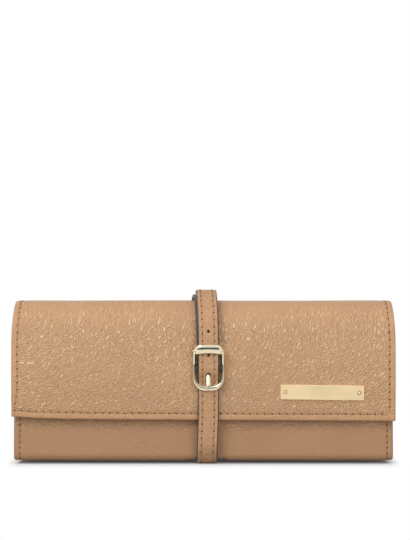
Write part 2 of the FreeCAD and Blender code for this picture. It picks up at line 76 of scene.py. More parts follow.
# Places read from the frame
(_, WALL_Y, BASE_Z), (BACK_HALF, BACK_Y, _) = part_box("back_panel")
(_, FRONT_Y, EDGE_Z), (FLAP_HALF, _, TOP_Z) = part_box("flap_leather")
WALL_HALF, _, WALL_TOP_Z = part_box("front_wall")[1]
STRAP_X = middle_of("back_strap")[0]
STRAP_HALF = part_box("back_strap")[1][0] - STRAP_X
_, PIN_Y, PIN_Z = middle_of("buckle_pin")

# Sizes that the solids share with the skin over them
LEATHER, PADDING, LINING = mm(1.3, 1.5, 0.8)
CORE, WALL = LEATHER + PADDING, LEATHER + PADDING + LINING
TOP_BACK_RADIUS, TOP_FRONT_RADIUS, BASE_RADIUS = mm(15, 20, 10)
BULGE_ANGLE, WALL_LEAN = 6.0, 4.0
STRAP, STRAP_PLAY, TIP_PLAY = mm(2.2, 0.4, 1.4)
STEP_ANGLE, STEP_RADIUS, EASE_RADIUS = 28.0, 6 * MM, 27.6 * MM
STRAP_TILT, STRAP_CUT_ANGLE, STRAP_CORNER_RADIUS = 2.0, 35.0, 14 * MM
HOLE_RADIUS, HOLE_PITCH, HOLE_FROM_PIN = mm(0.9, 13, 4)
POCKET, SLIP_POCKET = mm(1.2, 1.0)


def linear(code):
    """The linear colour of an sRGB hex value."""
    parts = [int(code[place:place + 2], 16) / 255 for place in (0, 2, 4)]
    return [part / 12.92 if part <= 0.04045 else ((part + 0.055) / 1.055) ** 2.4 for part in parts]


def length_prop(name, description, size):
    """A length in metres with its name, description and default."""
    return bpy.props.FloatProperty(
        name=name, description=description, default=size, min=0.0, unit="LENGTH")


def colour_prop(name, description, code):
    """A colour with its name and description, from an sRGB hex value."""
    return bpy.props.FloatVectorProperty(
        name=name, description=description, subtype="COLOR", min=0.0, max=1.0, default=linear(code))


class WrapCaseSizes(bpy.types.PropertyGroup):
    """Sizes of the visible finish that a user would change."""

    stitch_pitch: length_prop("Stitch pitch", "Length of one stitch of the flap", 4.4 * MM)
    wall_pitch: length_prop("Wall stitch pitch", "Length of one stitch of the front wall", 3.4 * MM)
    strap_pitch: length_prop("Strap stitch pitch", "Length of one stitch of the strap", 4.2 * MM)
    thread: length_prop("Thread radius", "Radius of the sewing thread", 0.3 * MM)
    needle_hole: length_prop("Needle hole", "Length of the slanting holes between stitches", 1.5 * MM)
    side_inset: length_prop("Side row inset", "Side stitching from the panel's edge", 3.6 * MM)
    edge_inset: length_prop("Edge row inset", "Lower stitching from the flap's edge", 4.2 * MM)
    corner_swing: length_prop("Corner swing", "How far the left row swings out to the corner", 1.6 * MM)
    strap_inset: length_prop("Strap row inset", "Strap stitching from the strap's edge", 2.7 * MM)
    groove: length_prop("Stitch groove", "Depth to which stitching draws the leather in", 0.35 * MM)
    pebble: length_prop("Pebble", "Width of one pebble of the grain", 1.6 * MM)
    crease_width: length_prop("Crease width", "Width between the creases of the grain", 1.45 * MM)
    crease_length: length_prop("Crease length", "Length of the creases of the grain", 3.9 * MM)
    tip_lean: length_prop("Tip lean", "How far the strap's tip lies to one side", 1.7 * MM)
    back_lean: length_prop("Back lean", "How far the strap lies to one side at the back's top", 5.0 * MM)
    foot_lean: length_prop("Foot lean", "How far the strap lies to one side at the case's foot", 0.9 * MM)
    strap_arch: length_prop("Strap arch", "How far the stiff free end arches off the crown", 0.8 * MM)


class WrapCaseColours(bpy.types.PropertyGroup):
    """Colours of the visible finish."""

    hide: colour_prop("Hide", "Dyed leather", "D1A279")
    # Darker leather colour: painted shade in the grain's valleys, and more of it, evenly, where the grain is
    # faint
    hide_deep: colour_prop("Hide valleys", "Leather in the valleys of its grain", "A3784F")
    # Paler leather colour on the grain's crests: a painted highlight
    hide_crest: colour_prop("Hide crests", "Leather on the polished crests of its grain", "F2CEA6")
    edge_paint: colour_prop("Edge paint", "Paint on the strap's cut edges", "504B48")
    thread: colour_prop("Thread", "Sewing thread", "B4885F")
    # Dark of the needle holes: painted shade in the holes
    needle_hole: colour_prop("Needle hole", "Dark of the needle holes", "6A482F")
    suede: colour_prop("Suede", "Lining and pockets", "CDB89C")
    gilt: colour_prop("Gilt", "Polished light gold plating", "E6DEC0")
    satin_gilt: colour_prop("Satin gilt", "Satin light gold plating", "F9E2B8")
    # Dark ring round a rivet's head: tarnished gilt and painted shade of the gap
    tarnish: colour_prop("Tarnish", "Gilt in the gap round a rivet's head", "8C744A")
    tape: colour_prop("Zip tape", "Woven tape of the zip", "A98660")
    floor: colour_prop("Floor", "Studio floor", "F2F2F2")


def sizes():
    return bpy.context.scene.wrap_case_sizes


def colours():
    return bpy.context.scene.wrap_case_colours


def lay_path(start, heading, runs):
    """A flat path from a point and a heading: runs ("line", length) and ("arc", radius, degrees to the left).

    Each run is kept as its start length, place, heading and curvature, so any length on it has a closed form.
    """
    y, z = start
    turned = math.radians(heading)
    rows, length = [], 0.0
    for run in runs:
        bend = 0.0 if run[0] == "line" else math.copysign(1 / run[1], run[2])
        span = run[1] if run[0] == "line" else run[1] * abs(math.radians(run[2]))
        rows.append((length, y, z, turned, bend))
        ahead = turned + bend * span
        if bend:
            y += (math.sin(ahead) - math.sin(turned)) / bend
            z -= (math.cos(ahead) - math.cos(turned)) / bend
        else:
            y += span * math.cos(turned)
            z += span * math.sin(turned)
        turned = ahead
        length += span
    return {"rows": np.array(rows), "length": length, "end": (y, z), "heading": math.degrees(turned)}


def along(path, s):
    """Point and heading at lengths s of a path: a straight step, or a chord of a circle of its curvature."""
    rows = path["rows"]
    place = np.clip(np.searchsorted(rows[:, 0], s, side="right") - 1, 0, len(rows) - 1)
    begun, y, z, turned, bend = np.moveaxis(rows[place], -1, 0)
    step = s - begun
    ahead = turned + bend * step
    straight = bend == 0
    curve = np.where(straight, 1.0, bend)
    y = y + np.where(straight, step * np.cos(turned), (np.sin(ahead) - np.sin(turned)) / curve)
    z = z + np.where(straight, step * np.sin(turned), (np.cos(turned) - np.cos(ahead)) / curve)
    return y, z, ahead


def at(x, y, z):
    """Points from a number or an array for each axis."""
    return np.stack(np.broadcast_arrays(x, y, z), -1)


def outside(path, s, out, x):
    """Points that stand out from a path in YZ by a distance, to the right of its heading, at places x."""
    y, z, heading = along(path, s)
    return at(x, y + out * np.sin(heading), z - out * np.cos(heading))


# The padded wrap: from a seam under the base up the back, over the top and down the bulged flap
FRONT_TURN = 90 - BULGE_ANGLE
BULGE = math.radians(BULGE_ANGLE)
BULGE_CHORD = TOP_Z - EDGE_Z - TOP_FRONT_RADIUS * (1 - math.cos(math.radians(FRONT_TURN)))
BULGE_RADIUS = BULGE_CHORD / (2 * math.sin(BULGE))
BULGE_Z = EDGE_Z + BULGE_CHORD / 2
FRONT_REACH = TOP_FRONT_RADIUS * math.sin(math.radians(FRONT_TURN))
TOP_LENGTH = BACK_Y - FRONT_Y - TOP_BACK_RADIUS - FRONT_REACH - BULGE_RADIUS * (1 - math.cos(BULGE))
HINGE_Z = TOP_Z - TOP_BACK_RADIUS
CORNER_Z = BASE_Z + BASE_RADIUS
SEAM_Y = -4 * MM
BACK_PATH = lay_path((SEAM_Y, BASE_Z), 0, [
    ("line", BACK_Y - BASE_RADIUS - SEAM_Y), ("arc", BASE_RADIUS, 90), ("line", HINGE_Z - CORNER_Z),
    ("arc", TOP_BACK_RADIUS, 90), ("line", TOP_LENGTH), ("arc", TOP_FRONT_RADIUS, FRONT_TURN),
    ("arc", BULGE_RADIUS, 2 * BULGE_ANGLE)])
HINGE_S, _, FRONT_S, BULGE_S = BACK_PATH["rows"][3:7, 0]

# The front wall, down to the same seam
WALL_HEADING = 270 - WALL_LEAN
LEAN = math.radians(WALL_LEAN)
FOOT_RADIUS = 4 * MM
FOOT_Z = BASE_Z + FOOT_RADIUS * (1 - math.cos(math.radians(WALL_HEADING)))
WALL_TOP = (WALL_Y + (WALL_TOP_Z - CORNER_Z) * math.tan(LEAN), WALL_TOP_Z)
WALL_RUNS = [("line", (WALL_TOP_Z - FOOT_Z) / math.cos(LEAN)), ("arc", FOOT_RADIUS, 90 + WALL_LEAN)]
FOOT_END = lay_path(WALL_TOP, WALL_HEADING, WALL_RUNS)["end"]
FRONT_PATH = lay_path(WALL_TOP, WALL_HEADING, WALL_RUNS + [("line", SEAM_Y - FOOT_END[0])])


def bulge_turn(height, radius):
    """Turn from the top of the bulge down to a height on a circle about its centre, in degrees."""
    return BULGE_ANGLE - math.degrees(math.asin((height - BULGE_Z) / radius))


# The strap's paths, on its middle line
UNDER_OUT = STRAP_PLAY + STRAP / 2
TIP_OUT = STRAP_PLAY + STRAP + TIP_PLAY + STRAP / 2
STEP_TURN = math.radians(STEP_ANGLE)
STEP_LINE = (STRAP + TIP_PLAY - 2 * STEP_RADIUS * (1 - math.cos(STEP_TURN))) / math.sin(STEP_TURN)
TIP_START = (BACK_Y - TOP_BACK_RADIUS, TOP_Z + TIP_OUT)
TIP_RUNS = [("line", TOP_LENGTH), ("arc", TOP_FRONT_RADIUS + TIP_OUT, FRONT_TURN),
            ("arc", BULGE_RADIUS + TIP_OUT, bulge_turn(PIN_Z, BULGE_RADIUS + TIP_OUT)),
            ("arc", STEP_RADIUS, STEP_ANGLE), ("line", STEP_LINE), ("arc", STEP_RADIUS, -STEP_ANGLE)]
DOWN_HEADING = 270 + STRAP_TILT
TIP_HEADING = lay_path(TIP_START, 180, TIP_RUNS)["heading"]
EASED_RUNS = TIP_RUNS + [("arc", EASE_RADIUS, DOWN_HEADING - TIP_HEADING)]
EASED_Z = lay_path(TIP_START, 180, EASED_RUNS)["end"][1]
LINE_END_Z = STRAP / 2 + STRAP_CORNER_RADIUS * (1 - math.cos(math.radians(DOWN_HEADING)))
DOWN_LENGTH = (LINE_END_Z - EASED_Z) / math.sin(math.radians(DOWN_HEADING))
FREE_PATH = lay_path(TIP_START, 180, EASED_RUNS + [
    ("line", DOWN_LENGTH), ("arc", STRAP_CORNER_RADIUS, 360 - STRAP_CUT_ANGLE - DOWN_HEADING)])
TURN_UNDER = [("arc", STRAP_CORNER_RADIUS, STRAP_CUT_ANGLE)]
UNDER_Y = lay_path(FREE_PATH["end"], 360 - STRAP_CUT_ANGLE, TURN_UNDER)["end"][0]
BACK_STRAP_PATH = lay_path(FREE_PATH["end"], 360 - STRAP_CUT_ANGLE, TURN_UNDER + [
    ("line", BACK_Y - BASE_RADIUS - UNDER_Y), ("arc", BASE_RADIUS + STRAP / 2, 90),
    ("line", HINGE_Z - CORNER_Z)])
BUCKLE_STRAP_PATH = lay_path((BACK_Y + UNDER_OUT, HINGE_Z), 90, [
    ("arc", TOP_BACK_RADIUS + UNDER_OUT, 90), ("line", TOP_LENGTH),
    ("arc", TOP_FRONT_RADIUS + UNDER_OUT, FRONT_TURN),
    ("arc", BULGE_RADIUS + UNDER_OUT, bulge_turn(PIN_Z, BULGE_RADIUS + UNDER_OUT))])


# Shells: closed surfaces as whole arrays


def shell(points, faces, surface, slots=0, grain=1.0, flow=None):
    """A closed shell: points, arrays of quads or triangles, and each point's place on the surface in metres.

    The faces are turned round if the volume they enclose comes out negative. flow is the place along and
    across the creases of the grain; without it the creases run at a slant over the surface.
    """
    centred = points - points.mean(0)
    corners = np.concatenate([
        array[:, (0, n, n + 1)] for array in faces for n in range(1, array.shape[1] - 1)])
    first, second, third = centred[corners].transpose(1, 0, 2)
    if np.einsum("ij,ij->", first, np.cross(second, third)) < 0:
        faces = [array[:, ::-1] for array in faces]
    if flow is None:
        slant = math.radians(57)
        flow = surface @ np.array([[math.cos(slant), -math.sin(slant)], [math.sin(slant), math.cos(slant)]])
    count = sum(len(array) for array in faces)
    return {"points": points, "faces": faces, "surface": surface, "flow": flow,
            "slots": np.broadcast_to(slots, (count,)), "grain": np.broadcast_to(grain, (len(points),))}


def build(name, shells, finishes):
    """A mesh object at the origin from shells, with UV maps in metres and the grain's strength at points."""
    mesh = bpy.data.meshes.new(name)
    whole = {key: np.concatenate([part[key] for part in shells])
             for key in ("points", "slots", "surface", "flow", "grain")}
    starts = np.cumsum([0] + [len(part["points"]) for part in shells])
    arrays = [array + start for part, start in zip(shells, starts) for array in part["faces"]]
    loops = np.concatenate([array.ravel() for array in arrays])
    counts = np.concatenate([np.full(len(array), array.shape[1]) for array in arrays])
    mesh.vertices.add(len(whole["points"]))
    mesh.vertices.foreach_set("co", whole["points"].astype(np.float32).ravel())
    mesh.loops.add(len(loops))
    mesh.loops.foreach_set("vertex_index", loops.astype(np.int32))
    mesh.polygons.add(len(counts))
    mesh.polygons.foreach_set("loop_start", (np.cumsum(counts) - counts).astype(np.int32))
    mesh.polygons.foreach_set("use_smooth", np.ones(len(counts), bool))
    mesh.polygons.foreach_set("material_index", whole["slots"].astype(np.int32))
    for layer in ("surface", "flow"):
        uv = whole[layer][loops].astype(np.float32).ravel()
        mesh.uv_layers.new(name=layer).data.foreach_set("uv", uv)
    grain = whole["grain"].astype(np.float32)
    mesh.attributes.new("grain", "FLOAT", "POINT").data.foreach_set("value", grain)
    for finish in finishes:
        mesh.materials.append(material(finish))
    mesh.update()
    if mesh.validate():
        raise ValueError(name + " has faces that aren't valid")
    made = bpy.data.objects.new(name, mesh)
    bpy.context.scene.collection.objects.link(made)
    return made


def dress(name, shells, finishes, nodes, fasten):
    """A piece that takes the place of CAD nodes, fastened to what carries it."""
    made = build(name, shells, finishes)
    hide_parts(*nodes)
    fasten(made)
    return made


def on(body):
    """What fastens a piece to one body."""
    return lambda piece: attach(piece, body)


def grid_quads(rows, columns, wrap_rows=False, wrap_columns=False):
    """Quads of a grid of points numbered row by row, closed round on either side where asked."""
    r = np.arange(rows if wrap_rows else rows - 1)[:, None]
    c = np.arange(columns if wrap_columns else columns - 1)[None, :]
    r2, c2 = (r + 1) % rows, (c + 1) % columns
    corners = [r * columns + c, r2 * columns + c, r2 * columns + c2, r * columns + c2]
    return np.stack(np.broadcast_arrays(*corners), -1).reshape(-1, 4)


def spaced(length, edge, fine_to, fine, coarse):
    """Places from 0 to a length: a quarter-round of points at each end, then fine steps, then coarse ones.

    How far the fine steps go and the sizes of both steps are in millimetres.
    """
    round_end = edge * (1 - np.cos(np.linspace(0, np.pi / 2, 7)))
    near = np.arange(edge + fine * MM, min(fine_to * MM, length / 2), fine * MM)
    head = np.concatenate([round_end, near])
    count = max(2, int(round((length - 2 * head[-1]) / (coarse * MM))) + 1)
    middle = np.linspace(head[-1], length - head[-1], count)[1:-1]
    return np.concatenate([head, middle, length - head[::-1]])


def dome(distance, radius):
    """Share of the full thickness at a distance in from a round edge: a quarter circle."""
    inward = 1 - np.clip(distance / radius, 0, 1)
    return np.sqrt(np.clip(1 - inward**2, 0, 1))


def bar(length, edge, *steps):
    """Spaced places along a bar with round ends, and the share of its full section at each place."""
    t = spaced(length, edge, *steps)
    return t, dome(np.minimum(t, t[-1] - t), edge)


def smooth(value, low, high):
    """Smooth step from 0 at low to 1 at high."""
    share = np.clip((value - low) / (high - low), 0, 1)
    return share * share * (3 - 2 * share)


def bell(distance, width):
    """1 at no distance, falling to nothing on both sides over some widths."""
    return np.exp(-((distance / width) ** 2))


def value_at(value, s):
    """A number as it is, or what a function gives at lengths s."""
    return value(s) if callable(value) else value


def sheet(path, half, outer, inner, edge, steps_across, steps_along, first=0.0, last=None, widest=None,
          relief=None, grain=None, flow=None, middle=0.0, painted=0.0, lift=0.0):
    """A closed sheet along a path: two faces at outer and inner offsets that meet in a round edge all round.

    half is half the width and middle its place, as numbers or functions of the length s. The points lie at
    spaced places over the widest width and from first to last. The thickness falls to nothing at the border
    as a quarter circle of radius edge. relief(x from the middle, s) is added to the outer face and lift to
    both. Faces nearer than painted to a side take slot 1.
    """
    widest = widest or half
    last = path["length"] if last is None else last
    across = spaced(2 * widest, edge, *steps_across) / widest - 1
    s = first + spaced(last - first, edge, *steps_along)
    a, run = np.meshgrid(across, s, indexing="ij")
    width = value_at(half, run)
    x = a * width
    border = (1 - np.abs(a)) * width
    share = dome(border, edge) * dome(np.minimum(run - s[0], s[-1] - run), edge)
    thick = (outer - inner) / 2
    raised = relief(x, run) if relief else 0.0
    place = x + value_at(middle, run)
    core = (outer + inner) / 2 + value_at(lift, run)
    front = outside(path, run, core + (thick + raised) * share, place)
    back = outside(path, run, core - (thick - 0.3 * raised) * share, place)
    rim = np.zeros(a.shape, bool)
    rim[[0, -1], :] = True
    rim[:, [0, -1]] = True
    number = np.arange(a.size).reshape(a.shape)
    behind = np.where(rim, number, a.size + np.cumsum(~rim).reshape(a.shape) - 1)
    quads = grid_quads(*a.shape)
    at_side = border.ravel()[quads].mean(1) < painted

    def both(values):
        return np.concatenate([values.reshape(a.size, -1), values[~rim].reshape((~rim).sum(), -1)])

    points = np.concatenate([front.reshape(-1, 3), back[~rim]])
    faces = [np.concatenate([quads, behind.ravel()[quads][:, ::-1]])]
    grained = both(np.broadcast_to(grain(x, run) if grain else 1.0, a.shape))[:, 0]
    return shell(points, faces, both(np.stack([x, run], -1)), np.tile(at_side.astype(int), 2), grained,
                 both(flow(x, run)) if flow else None)


def capped(rings, poles):
    """Points and faces of a tube whose first and last rings are drawn in to a pole each."""
    count, around = rings.shape[:2]
    points = np.concatenate([rings[1:-1].reshape(-1, 3), poles])
    first, last = np.arange(around), (count - 3) * around + np.arange(around)
    pole = np.full(around, len(points) - 2)
    caps = np.concatenate([np.stack([pole, first, np.roll(first, -1)], -1),
                           np.stack([last, pole + 1, np.roll(last, -1)], -1)])
    return points, [grid_quads(count - 2, around, wrap_columns=True), caps]


def tube(centre, side, up, half_side, half_up, power=2.0, around=24, closed=False):
    """A closed tube: at each place along it a superellipse of two half widths along two axes.

    An open tube starts and ends in a point, so its first and last half widths are taken as nothing.
    """
    angle = np.linspace(0, 2 * np.pi, around, endpoint=False)
    circle = np.stack([np.cos(angle), np.sin(angle)])
    across, above = np.sign(circle) * np.abs(circle) ** (2 / power)
    count = len(centre)
    side, up = np.broadcast_to(side, (count, 3)), np.broadcast_to(up, (count, 3))
    half_side, half_up = np.broadcast_to(half_side, (count,)), np.broadcast_to(half_up, (count,))
    rings = (centre[:, None] + side[:, None] * (half_side[:, None] * across)[..., None]
             + up[:, None] * (half_up[:, None] * above)[..., None])
    run = np.concatenate([[0], np.cumsum(np.linalg.norm(np.diff(centre, axis=0), axis=1))])
    girth = angle * max(half_side.max(), half_up.max())
    surface = np.stack(np.broadcast_arrays(girth, run[:, None]), -1)
    if closed:
        return shell(rings.reshape(-1, 3), [grid_quads(count, around, True, True)], surface.reshape(-1, 2))
    points, faces = capped(rings, centre[[0, -1]])
    return shell(points, faces, np.concatenate([surface[1:-1].reshape(-1, 2), [[0, 0], [0, run[-1]]]]))


def turned(profile, centre, axis):
    """A solid of revolution: radii and heights of a profile carried round axis 0, 1 or 2 through a centre."""
    radius, height = np.array(profile).T
    unit = np.eye(3)
    centres = np.array(centre) + height[:, None] * unit[axis]
    return tube(centres, unit[(axis + 1) % 3], unit[(axis + 2) % 3], radius, radius, around=32)


def copies(template, places, axes, scale):
    """One shell repeated: each copy is scaled, turned to its own three axes and moved to its place."""
    points = places[:, None, :] + np.einsum("mk,nkj->nmj", template["points"] * np.array(scale), axes)
    shift = np.arange(len(places))[:, None, None] * len(template["points"])
    faces = [(array[None] + shift).reshape(-1, array.shape[1]) for array in template["faces"]]
    return shell(points.reshape(-1, 3), faces, np.tile(template["surface"], (len(places), 1)))


def seed_shape():
    """A unit stitch along X: circles whose radius is a flattened arch of the length."""
    t = np.linspace(-0.5, 0.5, 7)
    radius = 0.5 * np.clip(1 - np.abs(2 * t) ** 3, 0, 1)
    return tube(at(t, 0, 0), Y_AXIS, Z_AXIS, radius, radius, around=6)


def stitch_places(first, last, pitch, phase):
    """Places of stitches between two ends, at whole steps that come nearest to a pitch."""
    count = max(1, int(round((last - first) / pitch)))
    return first + (np.arange(count) + phase) * (last - first) / count


def stitch_row(path, s, x, out, crossing):
    """Places and axes of stitches at lengths s along a path and x across it, in a row along or across it."""
    heading = along(path, s)[2]
    ahead = at(1.0, 0, 0 * heading) if crossing else at(0, np.cos(heading), np.sin(heading))
    return outside(path, s, value_at(out, s), x), ahead, at(0, np.sin(heading), -np.cos(heading))


def sewing(name, path, side_x, first, last, crossing, out, pitch, fasten):
    """Thread, and the dark needle holes between, of rows along both sides of a sheet and of rows across it.

    Each stitch is turned by a slant about the surface's normal, as a lock stitch is. The needle holes are
    dark marks painted as shade.
    """
    wide, hole = 2 * sizes().thread, sizes().needle_hole
    kinds = (("thread", "bonded_thread", 0.5, (pitch - 0.8 * hole, wide, 0.8 * wide), 0.1),
             ("shaded_needle_holes", "needle_hole", 0.0, (hole, 0.55 * hole, 0.4 * hole), -0.6))
    for kind, finish, phase, scale, slant in kinds:
        s = stitch_places(first, last, pitch, phase)
        rows = [stitch_row(path, s, value_at(x, s), out, False) for x in side_x]
        for place, low, high in crossing:
            x = stitch_places(low, high, pitch, phase)
            rows.append(stitch_row(path, np.full(len(x), float(place)), x, out, True))
        place, ahead, up = (np.concatenate(parts) for parts in zip(*rows))
        slanted = ahead * math.cos(slant) + np.cross(up, ahead) * math.sin(slant)
        axes = np.stack([slanted, np.cross(up, slanted), up], 1)
        piece = build(f"{name}_{kind}", [copies(seed_shape(), place, axes, scale)], [finish])
        fasten(piece)


def hem(name, path, middle, half, inset, out, pitch, fasten):
    """A row of stitches all round a sheet."""
    side, end = [middle - half + inset, middle + half - inset], path["length"] - inset
    sewing(name, path, side, inset, end, [(inset, *side), (end, *side)], out, pitch, fasten)


# Materials


def add(tree, kind, inputs=None, **settings):
    """Adds a shader node with its settings; an input takes a value, a socket, or a node's first output."""
    node = tree.nodes.new("ShaderNode" + kind)
    for setting, value in settings.items():
        setattr(node, setting, value)
    for socket, value in (inputs or {}).items():
        if isinstance(value, bpy.types.Node):
            value = value.outputs[0]
        if isinstance(value, bpy.types.NodeSocket):
            tree.links.new(value, node.inputs[socket])
        else:
            node.inputs[socket].default_value = value
    return node


def rgba(colour):
    """One of the finish's colours by name, opaque."""
    return (*getattr(colours(), colour), 1.0)


def ramp(tree, value, low=0.0, high=1.0, to_low=0.0, to_high=1.0, eased=False):
    """A value carried from one range to another and clamped, evenly or eased at both ends."""
    ranges = {"From Min": low, "From Max": high, "To Min": to_low, "To Max": to_high}
    return add(tree, "MapRange", {"Value": value, **ranges},
               interpolation_type="SMOOTHSTEP" if eased else "LINEAR")


def calc(tree, operation, *values):
    """Arithmetic on numbers."""
    return add(tree, "Math", dict(enumerate(values)), operation=operation)


def calc_vector(tree, operation, *values):
    """Arithmetic on vectors."""
    return add(tree, "VectorMath", dict(enumerate(values)), operation=operation)


def noise(tree, place, scale, detail, dimensions="3D"):
    """A noise whose scale is the number of its patches to one unit of the place."""
    return add(tree, "TexNoise", {"Vector": place, "Scale": scale, "Detail": detail},
               noise_dimensions=dimensions)


def mixed(tree, share, first, second):
    """Two colours mixed by the share of the second."""
    return add(tree, "Mix", {0: share, 6: first, 7: second}, data_type="RGBA").outputs[2]


def coated(tree, colour, uneven, height, depth, roughness, relief=1.0, more=None):
    """A surface from a colour, its unevenness, a height with its full depth and a roughness."""
    tone = add(tree, "HueSaturation", {"Color": colour, "Value": uneven})
    bump = add(tree, "Bump", {"Height": height, "Strength": relief, "Distance": depth})
    looks = {"Base Color": tone, "Roughness": roughness, "Normal": bump}
    return add(tree, "BsdfPrincipled", {**looks, **(more or {})})


def calf(tree, relief, gloss, shade):
    """Calf leather: small round pebbles and slanting creases over fine pores.

    Pebbles are cells whose borders are valleys. Creases are the tops of a sine across the grain's flow. A
    drawn out noise bends its phase and a second one breaks the creases up. The valleys are duller than the
    tops and painted darker as shade; the tops are painted paler as highlight. Where the grain is faint more
    of the darker colour goes on evenly. A hide is dyed deeper in some parts. The last argument darkens the
    whole tone: a darker tone for the strap, and painted shade for the front wall.
    """
    sizing = sizes()
    drift, pebble_drift, crease_drift, pore, cloud, depth = mm(7, 1.6, 2, 0.4, 30, 0.72)
    stretch = (1 / sizing.crease_length, 1 / sizing.crease_width, 0)
    place = add(tree, "UVMap", uv_map="surface")
    flow = add(tree, "UVMap", uv_map="flow")
    wander = noise(tree, place, 1 / drift, 2.0).outputs["Color"]
    shift = calc_vector(tree, "SUBTRACT", wander, (0.5, 0.5, 0.5))
    moved = calc_vector(tree, "MULTIPLY_ADD", shift, (pebble_drift,) * 3, place)
    drawn = calc_vector(tree, "MULTIPLY_ADD", shift, (crease_drift,) * 3, flow)
    stretched = calc_vector(tree, "MULTIPLY", drawn, stretch)
    pebble = add(tree, "TexVoronoi", {"Vector": moved, "Scale": 1 / sizing.pebble},
                 feature="DISTANCE_TO_EDGE", voronoi_dimensions="2D")
    tops = ramp(tree, pebble, high=0.5, eased=True)
    bent = noise(tree, stretched, 1.0, 1.0, "2D")
    across = add(tree, "SeparateXYZ", {"Vector": stretched}).outputs["Y"]
    turns = calc(tree, "MULTIPLY_ADD", bent, 1.8, across)
    wave = calc(tree, "SINE", calc(tree, "MULTIPLY", turns, 2 * math.pi))
    line = ramp(tree, wave, low=-0.1, eased=True)
    apart = calc_vector(tree, "ADD", stretched, (31.0, 17.0, 0.0))
    broken = ramp(tree, noise(tree, apart, 1.1, 1.0, "2D"), 0.3, 0.62, 0.4, eased=True)
    piled = calc(tree, "MULTIPLY", line, broken)
    cells = calc(tree, "MULTIPLY_ADD", tops, 0.45, piled)
    strength = add(tree, "Attribute", attribute_name="grain").outputs["Fac"]
    grained = calc(tree, "MULTIPLY", cells, strength)
    height = calc(tree, "MULTIPLY_ADD", noise(tree, place, 1 / pore, 2.0), 0.16, grained)
    # Painted shade: at full grain only the valleys darken towards the valley colour; where the grain is faint
    # more of it goes on evenly
    deep = ramp(tree, cells, 0.05, 0.5, 0.08, 0.0)
    valley = add(tree, "Mix", {0: strength, 2: 0.28, 3: deep})
    dyed = mixed(tree, valley, rgba("hide"), rgba("hide_deep"))
    # Painted highlight: the crests are lightened towards the crest colour
    crest = calc(tree, "MULTIPLY", ramp(tree, cells, 0.25, 1.15), strength)
    dyed = mixed(tree, crest, dyed, rgba("hide_crest"))
    uneven = ramp(tree, noise(tree, place, 1 / cloud, 4.0), 0.3, 0.7, 0.97 * shade, 1.03 * shade)
    dull = ramp(tree, cells, 0.0, 1.4, gloss + 0.2, gloss)
    return coated(tree, dyed, uneven, height, depth, dull, relief, {"IOR": 1.45})


def speckled(tree, colour, roughness, grit, mottle_and_sheen, depth, metallic=0.0):
    """A surface with one size of grit: a noise of that size in its tone, its gloss and its relief."""
    specks = noise(tree, add(tree, "TexCoord").outputs["Object"], 1 / grit, 3.0)
    uneven = ramp(tree, specks, 0.25, 0.75, 1 - mottle_and_sheen, 1 + mottle_and_sheen)
    dull = ramp(tree, specks, to_low=0.8 * roughness, to_high=1.2 * roughness)
    return coated(tree, rgba(colour), uneven, specks, depth, dull, more={"Metallic": metallic})


def nap(tree):
    """A short nap of fibres, paler and darker in broad patches where it was stroked."""
    fibre_width, stroke_width, depth = mm(0.5, 22, 0.15)
    place = add(tree, "TexCoord").outputs["Object"]
    fibre = noise(tree, place, 1 / fibre_width, 3.0)
    stroke = noise(tree, place, 1 / stroke_width, 2.0)
    uneven = ramp(tree, calc(tree, "ADD", fibre, stroke), 0.7, 1.3, 0.86, 1.1)
    return coated(tree, rgba("suede"), uneven, fibre, depth, 0.92, 0.6,
                  {"Sheen Weight": 0.3, "Sheen Roughness": 0.4})


def weave(tree):
    """Raised threads in a herringbone: slanting waves of one width, crossed by waves of another."""
    warp_width, weft_width, depth = mm(0.9, 0.6, 0.12)
    wave_scale = 0.32
    place = add(tree, "UVMap", uv_map="surface")
    warp = add(tree, "TexWave", {"Vector": place, "Scale": wave_scale / warp_width, "Distortion": 1.5},
               bands_direction="DIAGONAL").outputs["Fac"]
    weft = add(tree, "TexWave", {"Vector": place, "Scale": wave_scale / weft_width},
               bands_direction="X").outputs["Fac"]
    both = calc(tree, "MULTIPLY", warp, weft)
    return coated(tree, rgba("tape"), ramp(tree, both, to_low=0.78, to_high=1.08), both, depth, 0.78)


def lit_floor(tree):
    """A floor that, seen directly, turns to plain white away from the case and keeps the shadow near it.

    The distance is that from a strip along the middle of the case's footprint, counted five times over to the
    sides. The floor sends less light back than it shows, as a small table would.
    """
    footprint, fade, sent_back = (BACK_HALF - 4 * MM, 10 * MM, 0), 53 * MM, (0.5, 0.5, 0.5, 1)
    apart = add(tree, "TexCoord").outputs["Object"]
    for operation, value in (("SUBTRACT", (0, 8 * MM, 0)), ("ABSOLUTE", (0, 0, 0)), ("SUBTRACT", footprint),
                             ("MAXIMUM", (0, 0, 0)), ("MULTIPLY", (5, 1, 1))):
        apart = calc_vector(tree, operation, apart, value)
    away = calc_vector(tree, "LENGTH", apart).outputs["Value"]
    white = ramp(tree, away, 0.0, fade, 0.04, eased=True)
    seen = add(tree, "LightPath").outputs
    direct = calc(tree, "MAXIMUM", seen["Is Camera Ray"], seen["Is Glossy Ray"])
    direct = calc(tree, "MAXIMUM", direct, seen["Is Transmission Ray"])
    shown = calc(tree, "MULTIPLY", white, direct)
    lit = add(tree, "BsdfDiffuse", {"Color": mixed(tree, direct, sent_back, rgba("floor"))})
    glow = add(tree, "Emission", {"Strength": 1.0})
    return add(tree, "MixShader", {0: shown, 1: lit, 2: glow})


